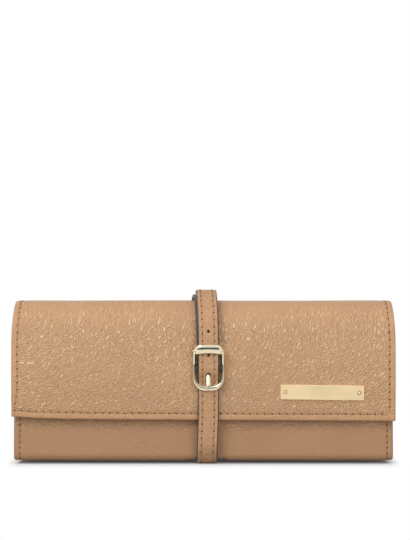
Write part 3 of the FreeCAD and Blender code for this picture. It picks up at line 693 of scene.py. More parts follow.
FINISHES = {
    # Calf, drum dyed and tumbled: grain that catches small glints on a warm, almost matt ground;
    # its paler crests are painted highlight and its darker valleys painted shade
    "tumbled_calf_leather": (calf, 1.0, 0.38, 1.0),
    # The same calf on the front wall, its tone darkened as painted shade below the flap
    "painted_shade_calf_leather": (calf, 0.8, 0.45, 0.74),
    # The same calf, split thinner and pressed flat: fainter grain
    "pressed_calf_leather": (calf, 0.5, 0.5, 0.86),
    # Acrylic paint rolled on cut edges: dark, smooth and slightly lumpy
    "rolled_edge_paint": (speckled, "edge_paint", 0.5, 1.2 * MM, 0.15, 0.1 * MM),
    # Bonded polyester thread: waxy, with the plies' light and dark
    "bonded_thread": (speckled, "thread", 0.6, 0.4 * MM, 0.2, 0.06 * MM),
    # Holes that the needle left: dark with painted shade, with no gloss
    "needle_hole": (speckled, "needle_hole", 0.85, 0.5 * MM, 0.2, 0.02 * MM),
    # Zinc casting, wheel polished and gold plated: a mirror with the wheel's faint waves
    "polished_gold_plate": (speckled, "gilt", 0.11, 4 * MM, 0.02, 0.012 * MM, 1.0),
    # Rolled brass sheet, satin finished and gold plated: a soft sheen;
    # its tone's broad light and dark are painted reflection
    "satin_gold_plate": (speckled, "satin_gilt", 0.6, 16 * MM, 0.05, 0.02 * MM, 1.0),
    # The same plating in a gap that no cloth reaches: dull and brown, tarnished, with the gap's shade painted
    # in
    "tarnished_shaded_gold_plate": (speckled, "tarnish", 0.6, 0.5 * MM, 0.1, 0.01 * MM, 1.0),
    # Microfibre suede, brushed: matt, paler and darker where it was stroked
    "brushed_microfibre_suede": (nap,),
    # Woven polyester tape: a fine herringbone, drawn coarser than it is to show
    "woven_polyester_tape": (weave,),
    # Matt white board: plain white with the case's shadow
    "white_studio_floor": (lit_floor,),
}
STRAP_FINISH = ["pressed_calf_leather", "rolled_edge_paint"]
SATIN = ["satin_gold_plate", "tarnished_shaded_gold_plate"]
GILT, SUEDE = ["polished_gold_plate"], ["brushed_microfibre_suede"]


def material(name):
    """The node material of a finish, made on first use."""
    found = bpy.data.materials.get(name)
    if found:
        return found
    paint, *values = FINISHES[name]
    made = bpy.data.materials.new(name)
    made.use_nodes = True
    made.node_tree.nodes.clear()
    add(made.node_tree, "OutputMaterial", {"Surface": paint(made.node_tree, *values)})
    return made


def finish_node(node, finish):
    """Gives a CAD node whose shape is right its finish."""
    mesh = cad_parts[node].data
    mesh.materials.clear()
    mesh.materials.append(material(finish))


# Pieces


def flap_half(s):
    """Half the wrap's width: below the crown the flap is a little wider than the back that it grows from."""
    return BACK_HALF + (FLAP_HALF - BACK_HALF) * smooth(s, FRONT_S + 4 * MM, BULGE_S + 8 * MM)


def waves(x, s):
    """Slight unevenness of hand-turned leather: three slow waves of different lengths and directions."""
    return 0.16 * MM * (np.sin(x / (31 * MM) + 0.7) * np.cos(s / (27 * MM))
                        + 0.6 * np.sin((x + s) / (19 * MM) + 2.0) + 0.5 * np.cos((x - 1.4 * s) / (43 * MM)))


def pulled(distance, depth, width=0.9 * MM):
    """The groove that a row of stitches pulls into padded leather: a bell of the distance from it."""
    return -depth * bell(distance, width)


def flap_flow(x, run):
    """Place along and across the creases of the flap.

    The creases climb at 40 degrees near the flap's edge and steepen to 80 degrees below the crown. They
    flatten towards the left side and a little towards the right, but not near the crown. The place across
    them is the integral of the slant's cotangent over the height, less the integral of that flattening over
    the width.
    """
    places = np.linspace(-FLAP_HALF, FLAP_HALF, 400)
    rise = 0.25 + 0.75 * smooth(places, -FLAP_HALF, -82 * MM) - 0.35 * smooth(places, 70 * MM, FLAP_HALF)
    heights = np.linspace(0, BACK_PATH["length"], 400)
    slant = np.radians(40 + 40 * smooth(heights, 10 * MM, 62 * MM))
    height = BACK_PATH["length"] - run
    total = np.cumsum(rise) * (places[1] - places[0])
    over = np.interp(x, places, total)
    over = over + (x + np.interp(0, places, total) - over) * smooth(height, 35 * MM, 62 * MM)
    up = np.interp(height, heights, np.cumsum(1 / np.tan(slant)) * (heights[1] - heights[0]))
    return np.stack([(x + height) * math.sqrt(0.5), 0.75 * (up - over)], -1)


def hang(piece):
    """The flap's edge hangs a little low at the right and its left corner turns up.

    Below the crown each point moves up by a slope across the width and a bell at the corner, more towards the
    edge.
    """
    drop, slope, corner, reach = mm(0.35, 0.55, 1.6, 18)
    points = np.empty(3 * len(piece.data.vertices), np.float32)
    piece.data.vertices.foreach_get("co", points)
    x, y, z = points.reshape(-1, 3).T
    up = -drop - slope * x / FLAP_HALF + corner * np.exp(-(x + FLAP_HALF) / reach)
    z += up * smooth(-z, -BULGE_Z - 12 * MM, -EDGE_Z) * (y < WALL_Y)
    piece.data.vertices.foreach_set("co", points)
    piece.data.update()


def bend_at_hinge(piece):
    """The flap's free edge hangs unevenly, and the piece's place is baked into its points."""
    hang(piece)
    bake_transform(piece)


def bend_at_foot(piece):
    """The piece's place is baked into its points."""
    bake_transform(piece)


class WRAPCASE_OT_skin(bpy.types.Operator):
    """Leather of the flap, back, base and front wall, with its stitching."""

    bl_idname = "wrap_case.skin"
    bl_label = "Leather skin"
    steps = CORE / 2, (9, 0.5, 4), (9, 0.5, 1.1)
    waved_from = 14 * MM

    def execute(self, context):
        self.back_and_flap()
        self.front_wall()
        return {"FINISHED"}

    def back_and_flap(self):
        """The leather from the seam under the base to the flap's edge, smooth at the crown."""
        sizing, length = sizes(), BACK_PATH["length"]
        last = length - sizing.edge_inset

        def row(run, sign):
            swing = sizing.corner_swing * smooth(run, last - 14 * MM, last) * (sign < 0)
            return sign * (flap_half(run) - sizing.side_inset + swing)

        def relief(x, run):
            side, low = flap_half(run) - np.abs(x), length - run
            sewn = np.minimum(np.abs(x - row(run, -1)), np.abs(x - row(run, 1)))
            rows = np.minimum(pulled(sewn, sizing.groove), pulled(low - sizing.edge_inset, sizing.groove))
            return rows + waves(x, run) * smooth(np.minimum(side, low), sizing.edge_inset, self.waved_from)

        def grain(x, run):
            at_crown, more_in_front, more_behind = 0.22, 0.78, 0.42
            inward = np.minimum(flap_half(run) - np.abs(x), length - run)
            front = more_in_front * smooth(run, FRONT_S + 8 * MM, FRONT_S + 29 * MM)
            rear = more_behind * (1 - smooth(run, HINGE_S - 20 * MM, HINGE_S + 8 * MM))
            return at_crown + (front + rear) * smooth(inward, 2 * MM, 7 * MM)

        skin = sheet(BACK_PATH, flap_half, 0, -CORE, *self.steps, widest=FLAP_HALF, relief=relief,
                     grain=grain, flow=flap_flow)
        dress("wrap_leather", [skin], ["tumbled_calf_leather"],
              ("back_panel", "back_board", "flap_leather", "flap_board"), bend_at_hinge)
        rows = [lambda run, sign=sign: row(run, sign) for sign in (-1, 1)]
        sewing("wrap_leather", BACK_PATH, rows, 3 * MM, last, [(last, row(last, -1), row(last, 1))],
               -0.7 * sizing.groove, sizing.stitch_pitch, bend_at_hinge)

    def front_wall(self):
        """The leather from the wall's top to the seam: grained near the flap, pressed in by the strap."""
        sizing = sizes()
        shaded, foot, press_depth = WALL_TOP_Z - EDGE_Z, WALL_RUNS[0][1], 0.9 * MM

        def relief(x, run):
            side = WALL_HALF - np.abs(x)
            rows = np.minimum(pulled(side - sizing.side_inset, sizing.groove),
                              pulled(run - sizing.edge_inset, sizing.groove))
            under_strap = 1 - smooth(np.abs(x - STRAP_X), 8 * MM, 14 * MM)
            pressed = press_depth * under_strap * smooth(run, foot - 8 * MM, foot)
            inward = smooth(np.minimum(side, run), sizing.edge_inset, self.waved_from)
            return rows + 0.5 * waves(x, run + 80 * MM) * inward - pressed

        def grain(x, run):
            at_foot, more_by_flap = 0.12, 0.7
            return at_foot + more_by_flap * (1 - smooth(run, shaded + 2 * MM, shaded + 8 * MM))

        def flow(x, run):
            return np.stack([x, 0.25 * x - run], -1)

        skin = sheet(FRONT_PATH, WALL_HALF, 0, -CORE, *self.steps, relief=relief, grain=grain, flow=flow)
        # The front wall's leather is painted darker, as shade below the flap
        dress("front_leather", [skin], ["painted_shade_calf_leather"], ("front_wall", "front_board"),
              bend_at_foot)
        first, width = sizing.edge_inset, WALL_HALF - sizing.side_inset
        sewing("front_leather", FRONT_PATH, [-width, width], first, FRONT_PATH["length"] - 3 * MM,
               [(first, -width, width)], -0.7 * sizing.groove, sizing.wall_pitch, bend_at_foot)


class WRAPCASE_OT_lining(bpy.types.Operator):
    """Suede lining of the wrap and of the front wall, and the slip pockets sewn on it."""

    bl_idname = "wrap_case.lining"
    bl_label = "Lining and slip pockets"
    inset = 1.2 * MM

    def execute(self, context):
        inset = self.inset
        wraps = "body_lining", "flap_lining"
        self.panel("wrap_lining", BACK_PATH, inset, BACK_PATH["length"] - inset,
                   lambda run: flap_half(run) - inset, CORE, LINING, wraps, bend_at_hinge)
        self.panel("wall_lining", FRONT_PATH, inset, FRONT_PATH["length"] - inset,
                   WALL_HALF - inset, CORE, LINING, ("front_lining",), bend_at_foot)
        self.slip("flap_slip_pocket", BACK_PATH, "flap_pocket", on("flap"))
        self.slip("wall_slip_pocket", FRONT_PATH, "front_pocket", on("front"))
        return {"FINISHED"}

    def panel(self, name, path, first, last, half, depth, thick, nodes, fasten):
        """A suede sheet on the inner side of a path."""
        suede = sheet(path, half, -depth, -depth - thick, thick, (3, 0.8, 5), (3, 0.8, 1.5),
                      first, last, FLAP_HALF)
        dress(name, [suede], SUEDE, nodes, fasten)

    def slip(self, name, path, node, fasten):
        """An open pocket: a sheet inside the lining, sewn along its sides and across both ends."""
        sizing = sizes()
        s = np.linspace(0, path["length"], 4000)
        _, z, heading = along(path, s)
        inner_z = z + WALL * np.cos(heading)
        (_, _, low), (half, _, high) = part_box(node)
        ahead = s[(inner_z > low) & (inner_z < high) & (np.sin(heading) < -0.5)]
        first, last = ahead[0], ahead[-1]
        self.panel(name, path, first, last, half, WALL, SLIP_POCKET, (node,), fasten)
        side = [sizing.side_inset - half, half - sizing.side_inset]
        end = last - sizing.side_inset
        sewing(name, path, side, first + 2 * MM, end, [(first + sizing.edge_inset, *side), (end, *side)],
               -WALL - SLIP_POCKET - 0.1 * MM, sizing.stitch_pitch, fasten)


class WRAPCASE_OT_strap(bpy.types.Operator):
    """Strap of doubled leather with painted edges: the holed free end, the buckle end and the back's run."""

    bl_idname = "wrap_case.strap"
    bl_label = "Strap"

    def execute(self, context):
        free = self.run("free_strap_leather", FREE_PATH, "free_strap", "strap", self.free_lean,
                        self.free_arch, tip=True)
        self.punch(free)
        # The buckle end's edge paint reaches 1.5 mm onto its face: edge paint, and painted shade beside the
        # free end
        self.run("buckle_strap_leather", BUCKLE_STRAP_PATH, "buckle_strap", "strap", self.buckle_lean,
                 self.buckle_arch, painted=1.5 * MM, extra=self.loop())
        self.run("back_strap_leather", BACK_STRAP_PATH, "back_strap", "body", self.back_lean, np.zeros_like)
        return {"FINISHED"}

    def free_lean(self, s):
        """The free end leans to one side over the crown, not at the buckle, and again at the foot."""
        at_foot = smooth(s, FREE_PATH["length"] - 32 * MM, FREE_PATH["length"])
        return -sizes().tip_lean * (1 - smooth(s, 8 * MM, 62 * MM)) - sizes().foot_lean * at_foot

    def buckle_lean(self, s):
        """The buckle end leans evenly from the back's top to the pin."""
        return -sizes().back_lean * (1 - s / BUCKLE_STRAP_PATH["length"])

    def back_lean(self, s):
        """The run round the back leaves the foot's lean and takes up the lean of the buckle end."""
        length = BACK_STRAP_PATH["length"]
        at_back = smooth(s, 0.35 * length, length)
        return -sizes().foot_lean * (1 - smooth(s, 0, 40 * MM)) - sizes().back_lean * at_back

    def free_arch(self, s):
        """The stiff free end stands off the crown: a bell about the crown's front."""
        return sizes().strap_arch * bell(s - TOP_LENGTH - 12 * MM, 16 * MM)

    def buckle_arch(self, s):
        """The buckle end stands off the crown too, and fills most of the gap under the free end."""
        return 1.6 * sizes().strap_arch * bell(s - 34 * MM, 16 * MM)

    def run(self, name, path, node, body, lean, lift, tip=False, painted=0.7 * MM, extra=()):
        """A strap along a path with a slightly crowned face; the free one has a round tip."""
        sizing, edge = sizes(), 0.7 * MM

        def half(length):
            rounded = np.sqrt(np.clip(1 - (1 - np.clip(length / STRAP_HALF, 0, 1)) ** 2, 0.0004, 1))
            return STRAP_HALF * rounded if tip else STRAP_HALF

        def relief(x, length):
            row = STRAP_HALF - np.abs(x) - sizing.strap_inset
            return pulled(row, 0.5 * sizing.groove, 0.6 * MM) + 0.1 * MM * (1 - (x / STRAP_HALF) ** 2)

        strap = sheet(path, half, STRAP / 2, -STRAP / 2, edge, (4, 0.35, 0.6), (4, 0.4, 0.7),
                      widest=STRAP_HALF, relief=relief, grain=lambda x, length: 0.4,
                      middle=lambda length: STRAP_X + lean(length), painted=painted, lift=lift)
        made = dress(name, [strap, *extra], STRAP_FINISH, (node,), on(body))
        inset = STRAP_HALF - sizing.strap_inset
        rows = [lambda length, sign=sign: STRAP_X + lean(length) + sign * inset for sign in (-1, 1)]
        sewing(name, path, rows, STRAP_HALF if tip else 2 * MM, path["length"] - 2 * MM, [],
               lambda length: STRAP / 2 + lift(length), sizing.strap_pitch, on(body))
        return made

    def loop(self):
        """The strap's end, skived thin, rolled round the pin beside the tongue, with painted ends."""
        inner, outer, end, radius, edge = 1.65 * MM, STRAP_HALF, 7.6 * MM, 1.7 * MM, 0.4 * MM
        rolls = []
        # The painted ends reach past the strap's width out to the rim: edge paint, and a dark fill painted as
        # shade in the buckle's window
        for sign, (near, far, slot) in itertools.product((-1, 1), ((inner, outer, 0), (outer, end, 1))):
            x, share = bar(far - near, edge, 0.6, 0.2, 0.8)
            half = radius * (0.75 + 0.25 * share)
            roll = tube(at(STRAP_X + sign * (near + x), PIN_Y, PIN_Z), Y_AXIS, Z_AXIS, half, half)
            rolls.append({**roll, "slots": roll["slots"] + slot})
        return rolls

    def punch(self, strap):
        """Cuts the round holes and the tongue's slot through the strap, and paints their walls."""
        heights = [PIN_Z - HOLE_FROM_PIN + HOLE_PITCH - 1.2 * MM, PIN_Z - HOLE_FROM_PIN + 2 * HOLE_PITCH]
        slot_low, slot_high, slot_half = PIN_Z - 7.6 * MM, PIN_Z - 2.6 * MM, 1.45 * MM
        s = np.linspace(0, FREE_PATH["length"], 4000)
        z = along(FREE_PATH, s)[1]
        leans = self.free_lean(np.interp(np.negative(heights), -z, s))
        places = [(STRAP_X + lean, height, HOLE_RADIUS, HOLE_RADIUS) for lean, height in zip(leans, heights)]
        places.append((STRAP_X, (slot_low + slot_high) / 2, slot_half, (slot_high - slot_low) / 2))
        depth = np.array([0, 0, 12, 12]) * MM + FRONT_Y - 11 * MM
        for number, (x, height, half_x, half_z) in enumerate(places):
            cutter = tube(at(x, depth, height), X_AXIS, Z_AXIS, half_x, half_z, 2.4, 32)
            # The cutters' faces give the holes' walls the dark edge paint: edge paint, and painted shade
            # inside the holes
            cutter["slots"] = cutter["slots"] + 1
            tool = build(f"strap_punch_{number}", [cutter], STRAP_FINISH)
            hole = strap.modifiers.new(tool.name, "BOOLEAN")
            hole.object, hole.operation, hole.solver = tool, "DIFFERENCE", "EXACT"
        graph = bpy.context.evaluated_depsgraph_get()
        punched = bpy.data.meshes.new_from_object(
            strap.evaluated_get(graph), preserve_all_data_layers=True, depsgraph=graph)
        tools = [hole.object for hole in strap.modifiers]
        strap.modifiers.clear()
        whole, strap.data = strap.data, punched
        punched.name = strap.name
        punched.set_sharp_from_angle(angle=math.radians(50))
        for tool in tools:
            bpy.data.objects.remove(tool)
        bpy.data.meshes.remove(whole)


class WRAPCASE_OT_buckle(bpy.types.Operator):
    """Cast buckle with a broad keeper bar, its tongue and its pin."""

    bl_idname = "wrap_case.buckle"
    bl_label = "Buckle"

    def execute(self, context):
        dress("buckle_casting", [self.rim(), self.keeper()], GILT, ("buckle_frame",), on("strap"))
        dress("buckle_tongue_bar", [self.tongue_bar(), self.tongue_eye()], GILT, ("buckle_tongue",),
              on("tongue"))
        finish_node("buckle_pin", *GILT)
        return {"FINISHED"}

    def rim(self):
        """The rim: a rounded bar down one side, round the low bend and up the other.

        Its section is a superellipse, wider across the low bend. Its front rises up the sides to meet the
        keeper.
        """
        (_, _, low), (_, _, high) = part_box("buckle_frame")
        half, bend, bottom_bar, edge = mm(8.55, 6.6, 1.45, 1.1)
        low, top, rise_from, rise_to = low + 0.5 * MM, high - 2.0 * MM, 60.5 * MM, 68 * MM
        drop = top - low - bottom_bar - bend
        leg, corner = ("line", drop), ("arc", bend, 90)
        path = lay_path((-half, top), 270, [leg, corner, ("line", 2 * (half - bend)), corner, leg])
        s, share = bar(path["length"], edge, 3, 0.4, 0.5)
        x, z, heading = along(path, s)
        bottom = smooth(1 - np.abs(heading - 2 * np.pi) / (np.pi / 2), 0.1, 0.9)
        front = 4.8 * MM + 2.6 * MM * smooth(z, rise_from, rise_to)
        back = 0.9 * MM + 1.9 * MM * bottom
        half_side = (0.95 * MM + 0.5 * MM * bottom) * share
        return tube(at(STRAP_X + x, FRONT_Y - (front + back) / 2, z),
                    at(np.sin(heading), 0, -np.cos(heading)), -Y_AXIS,
                    half_side, (front - back) / 2 * share, 2.4, 32)

    def keeper(self):
        """The keeper: a broad bar that bows out over the strap from one side to the other.

        Its lower edge arches up in the middle and its upper edge falls at the ends.
        """
        half, foot, bow, out, edge, thick = mm(8.4, 3.0, 4.2, 7.4, 0.8, 1.1)
        leg, corner = ("line", out - bow - foot), ("arc", bow, -90)
        path = lay_path((-half, foot), 90, [leg, corner, ("line", 2 * (half - bow)), corner, leg])
        s, share = bar(path["length"], edge, 2, 0.35, 0.4)
        x, w, heading = along(path, s)
        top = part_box("buckle_frame")[1][2] + 0.5 * MM
        outward = np.abs(x) / half
        high = top - 1.5 * MM * smooth(outward, 0.6, 1.05)
        low = top - 5.1 * MM - 1.1 * MM * outward**2
        return tube(at(STRAP_X + x, FRONT_Y - w, (high + low) / 2), Z_AXIS,
                    at(-np.sin(heading), -np.cos(heading), 0),
                    (high - low) / 2 * share, thick * share, 2.1, 32)

    def tongue_bar(self):
        """The tongue: a flattened bar from the pin to the front of the low bar.

        It narrows to its tip, and its end is bent down a little over the bar.
        """
        _, front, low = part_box("buckle_tongue")[0]
        reach = np.array([0.0, front + 0.85 * MM - PIN_Y, low + 2.4 * MM - PIN_Z])
        length = np.linalg.norm(reach)
        ahead, eye, edge = reach / length, 1.2 * MM, 0.7 * MM
        t, share = bar(length - eye, edge, 3, 0.4, 0.5)
        out = np.array([0.0, ahead[2], -ahead[1]])
        hook = -0.5 * MM * smooth(t, 0.72 * t[-1], t[-1])
        centre = np.array([STRAP_X, PIN_Y, PIN_Z]) + ahead * (t + eye)[:, None] + out * hook[:, None]
        half = (1.42 * MM - 0.2 * MM * t / t[-1]) * share
        return tube(centre, X_AXIS, out, half, 0.8 * MM * share, 2.6, 24)

    def tongue_eye(self):
        """The tongue's eye: a flat band carried round the pin."""
        angle = np.linspace(0, 2 * np.pi, 36, endpoint=False)
        round_pin = at(0, np.cos(angle), np.sin(angle))
        centre = np.array([STRAP_X, PIN_Y, PIN_Z]) + 1.32 * MM * round_pin
        return tube(centre, X_AXIS, round_pin, 1.25 * MM, 0.36 * MM, 3.0, 16, closed=True)


class WRAPCASE_OT_plate(bpy.types.Operator):
    """Bare satin plate on the flap, with its two ringed rivets."""

    bl_idname = "wrap_case.plate"
    bl_label = "Plate"

    def execute(self, context):
        low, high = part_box("nameplate")
        half = (high[0] - low[0]) / 2
        tall, thick, edge, inset = mm(9.0, 1.2, 0.35, 2.9)
        centre_x, _, centre_z = middle_of("nameplate")
        droop, slope = math.asin((BULGE_Z - centre_z) / BULGE_RADIUS), math.radians(0.8)
        centre_y = FRONT_Y + BULGE_RADIUS * (1 - math.cos(droop))
        middle = np.array([centre_x, centre_y, centre_z])
        path = lay_path((centre_y - tall / 2 * math.sin(droop), centre_z + tall / 2 * math.cos(droop)),
                        270 + math.degrees(droop), [("line", tall)])
        out = np.array([0.0, -math.cos(droop), -math.sin(droop)])
        down = np.array([0.0, math.sin(droop), -math.cos(droop)])
        turn = np.stack([X_AXIS * math.cos(slope) + down * math.sin(slope), out,
                         down * math.cos(slope) - X_AXIS * math.sin(slope)])
        plate = sheet(path, half, thick, -0.1 * MM, edge, (1.5, 0.3, 2.5), (1.5, 0.3, 0.8), middle=centre_x)
        plate["points"] = (plate["points"] - middle) @ np.stack([X_AXIS, out, down]).T @ turn + middle
        dress("satin_plate", [plate], SATIN[:1], ("nameplate",), on("flap"))
        head = np.array([(0, 0.34), (0.5, 0.3), (0.8, 0.16), (0.86, -0.3), (0, -0.3)]) * MM
        # A dark ring under each head's rim: tarnished gilt and painted shade of the gap
        gap = np.array([(0, 0.06), (1.15, 0.06), (1.2, -0.3), (0, -0.3)]) * MM
        rivets = []
        for sign, (profile, slot) in itertools.product((-1, 1), ((head, 0), (gap, 1))):
            rivet = turned(profile, (0, 0, 0), 1)
            points = (rivet["points"] + np.array([sign * (half - inset), thick, 0.0])) @ turn + middle
            rivets.append({**rivet, "points": points, "slots": rivet["slots"] + slot})
        dress("ringed_rivets", rivets, SATIN, ("nameplate_rivets",), on("flap"))
        return {"FINISHED"}


class WRAPCASE_OT_zip_pocket(bpy.types.Operator):
    """Zipped pocket inside the back: suede panels, woven tapes, metal teeth, slider and pull."""

    bl_idname = "wrap_case.zip_pocket"
    bl_label = "Zip pocket"

    def execute(self, context):
        self.panel("pocket_lower_panel", "zip_pocket_lower")
        self.panel("pocket_upper_panel", "zip_pocket_upper")
        self.tapes()
        self.teeth()
        self.slider()
        self.pull()
        finish_node("zip_stops", *GILT)
        return {"FINISHED"}

    def flat(self, node, start, tall, thick, edge):
        """A flat upright sheet as wide as a node's box, on the box's back, and the path that it follows."""
        half, back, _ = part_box(node)[1]
        path = lay_path((back, start), 90, [("line", tall)])
        return path, sheet(path, half, 0, -thick, edge, (3, 0.8, 4), (2, 0.4, 2))

    def panel(self, node, name):
        """A suede panel with a row of stitches round it."""
        (_, _, low), (half, _, high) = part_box(node)
        edge, inset, pitch = mm(0.6, 2.5, 3.2)
        path, made = self.flat(node, low, high - low, POCKET, edge)
        dress(name, [made], SUEDE, (node,), on("body"))
        hem(name, path, 0.0, half, inset, -POCKET, pitch, on("body"))

    def tapes(self):
        """Two bands of tape, at the low and the high edge of the node's box."""
        (_, _, low), (_, _, high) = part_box("zip_tapes")
        tall, thick, edge = mm(7, 0.6, 0.3)
        bands = [self.flat("zip_tapes", start, tall, thick, edge)[1] for start in (low, high - tall)]
        dress("woven_zip_tapes", bands, ["woven_polyester_tape"], ("zip_tapes",), on("body"))

    def teeth(self):
        """Two rows of cast teeth, each on a cord: a block repeated, the second row half a pitch along."""
        pitch, edge, *tooth = mm(2.5, 0.5, 1.2, 1.5, 2.0)
        (start, _, _), (end, _, _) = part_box("zip_teeth")
        count = int((end - start) / pitch)
        _, y, z = middle_of("zip_teeth")
        t = np.array([-0.5, -0.46, -0.2, 0.1, 0.34, 0.46, 0.5])
        share = 0.5 * np.array([0, 0.8, 1.0, 0.86, 1.0, 0.8, 0])
        block = tube(at(0, 0, t), X_AXIS, Y_AXIS, share, share, 3.0, 8)
        run, cord = bar(end - start, edge, 1, 0.3, 12)
        rows = []
        for number, side in enumerate((-1, 1)):
            x = start + (np.arange(count) + 0.5 + 0.5 * number) * pitch
            axes = np.broadcast_to(np.diag([-1.0 * side, 1.0, -1.0 * side]), (count, 3, 3))
            rows.append(copies(block, at(x, y, z + side * 0.55 * MM), axes, tooth))
            rows.append(tube(at(start + run, y + 0.3 * MM, z + side * 1.15 * MM), Y_AXIS, Z_AXIS,
                             0.45 * MM * cord, 0.35 * MM * cord, 2.0, 10))
        dress("cast_zip_teeth", rows, GILT, ("zip_teeth",), on("body"))

    def slider(self):
        """The slider: a shield-shaped body that narrows to one end, with an arched bridge over it."""
        low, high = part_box("zip_slider")
        x, _, z = middle_of("zip_slider")
        length, plate = high[0] - low[0], 0.6 * MM
        t, share = bar(length, 1.2 * MM, 2, 0.4, 0.6)
        half = (3.5 * MM - 0.9 * MM * smooth(t, 0, length)) * share
        body = tube(at(low[0] + t, high[1] - plate, z), Z_AXIS, Y_AXIS,
                    half, plate * (0.4 + 0.6 * share), 3.0)
        tall, rise, bend = mm(5.8, 1.6, 0.9)
        leg, corner = ("line", 0.7 * MM), ("arc", bend, -90)
        path = lay_path((-tall / 2, 0), 90, [leg, corner, ("line", tall - 2 * bend), corner, leg])
        s, share = bar(path["length"], 0.5 * MM, 1, 0.3, 0.4)
        over, up, heading = along(path, s)
        bridge = tube(at(x, low[1] + plate + rise - up, z + over), X_AXIS,
                      at(0, -np.cos(heading), -np.sin(heading)), plate * share, plate * share, 2.0, 16)
        dress("zip_slider_casting", [body, bridge], GILT, ("zip_slider",), on("zip_slider"))

    def pull(self):
        """The pull: an eye round the bridge and a waisted blade that widens to a round end."""
        _, y, z = middle_of("zip_pull")
        eye_x = middle_of("zip_slider")[0]
        angle = np.linspace(0, 2 * np.pi, 30, endpoint=False)
        ring = at(np.cos(angle), np.sin(angle), 0)
        centre = np.array([eye_x, y, z]) + 0.95 * MM * ring
        eye = tube(centre, Z_AXIS, ring, 1.5 * MM, 0.28 * MM, 2.6, 14, closed=True)
        start = eye_x - 1.0 * MM
        t, share = bar(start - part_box("zip_pull")[0][0], 1.6 * MM, 3, 0.4, 0.6)
        waist = 2.0 * MM - 0.7 * MM * bell(t - 5 * MM, 3.5 * MM)
        blade = tube(at(start - t, y, z), Z_AXIS, Y_AXIS,
                     waist * share, 0.5 * MM * (0.5 + 0.5 * share), 3.0, 20)
        dress("zip_pull_blade", [eye, blade], GILT, ("zip_pull",), on("zip_pull"))


class WRAPCASE_OT_ring_bar(bpy.types.Operator):
    """Stuffed roll that holds rings, with its sewn anchor and its press-studded tab."""

    bl_idname = "wrap_case.ring_bar"
    bl_label = "Ring bar"

    def execute(self, context):
        roll = dress("stuffed_ring_roll", [self.roll()], SUEDE, ("ring_bar",), on("ring_bar"))
        self.patch("ring_roll_tab", "ring_bar_tab", on("ring_bar"))
        self.patch("ring_roll_anchor", "ring_bar_anchor", on("body"))
        low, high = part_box("snap_cap")
        rounded = np.array([(0, 1), (0.35, 0.98), (0.62, 0.88), (0.7, 0.7), (0.8, 0.66), (0.96, 0.5),
                            (1, 0.3), (0.97, 0), (0, 0)])
        profile = rounded * np.array([(high[0] - low[0]) / 2, high[2] - low[2]])
        cap = turned(profile, (*middle_of("snap_cap")[:2], low[2]), 2)
        dress("press_stud_cap", [cap], GILT, ("snap_cap",), on("ring_bar"))
        finish_node("snap_stud", *GILT)
        return {"FINISHED"}

    def roll(self):
        """A stuffed roll: a circle carried along X, full in the middle and drawn in at both ends.

        Gathers run in from the ends as waves round the girth that fade along the length. A seam runs
        underneath.
        """
        low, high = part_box("ring_bar")
        length, radius, edge = high[0] - low[0], (high[2] - low[2]) / 2, 5 * MM
        t = spaced(length, edge, 14, 0.6, 2)
        angle = np.linspace(0, 2 * np.pi, 72, endpoint=False)
        along_x, girth = np.meshgrid(t, angle, indexing="ij")
        inward = np.minimum(along_x, length - along_x)
        drawn = dome(inward, edge)
        gather = 0.3 * MM * np.cos(13 * girth) * np.exp(-inward / (6 * MM)) * drawn
        seam = -0.5 * MM * bell(girth - 1.5 * np.pi, 0.12)
        full = radius * (0.94 + 0.05 * smooth(inward, 0, 30 * MM)) * (0.35 + 0.65 * drawn)
        r = full + gather + seam * drawn + 0.12 * MM * np.sin(along_x / (9 * MM))
        r[[0, -1]] = 0
        _, y, z = middle_of("ring_bar")
        rings = at(low[0] + along_x, y + r * np.cos(girth), z + r * np.sin(girth))
        points, faces = capped(rings, rings[[0, -1], 0])
        return shell(points, faces, points[:, :2])

    def patch(self, name, node, fasten):
        """A leather patch that lies flat, with a row of stitches round it."""
        low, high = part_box(node)
        half, deep, thick = (high[0] - low[0]) / 2, high[1] - low[1], high[2] - low[2]
        edge, inset, pitch = mm(0.5, 1.8, 2.4)
        steps = (2, 0.4, 1)
        path = lay_path((low[1], high[2]), 0, [("line", deep)])
        middle = middle_of(node)[0]
        leather = sheet(path, half, 0, -thick, edge, steps, steps, grain=lambda x, run: 0.5, middle=middle)
        dress(name, [leather], STRAP_FINISH[:1], (node,), fasten)
        hem(name, path, middle, half, inset, -thick, pitch, fasten)


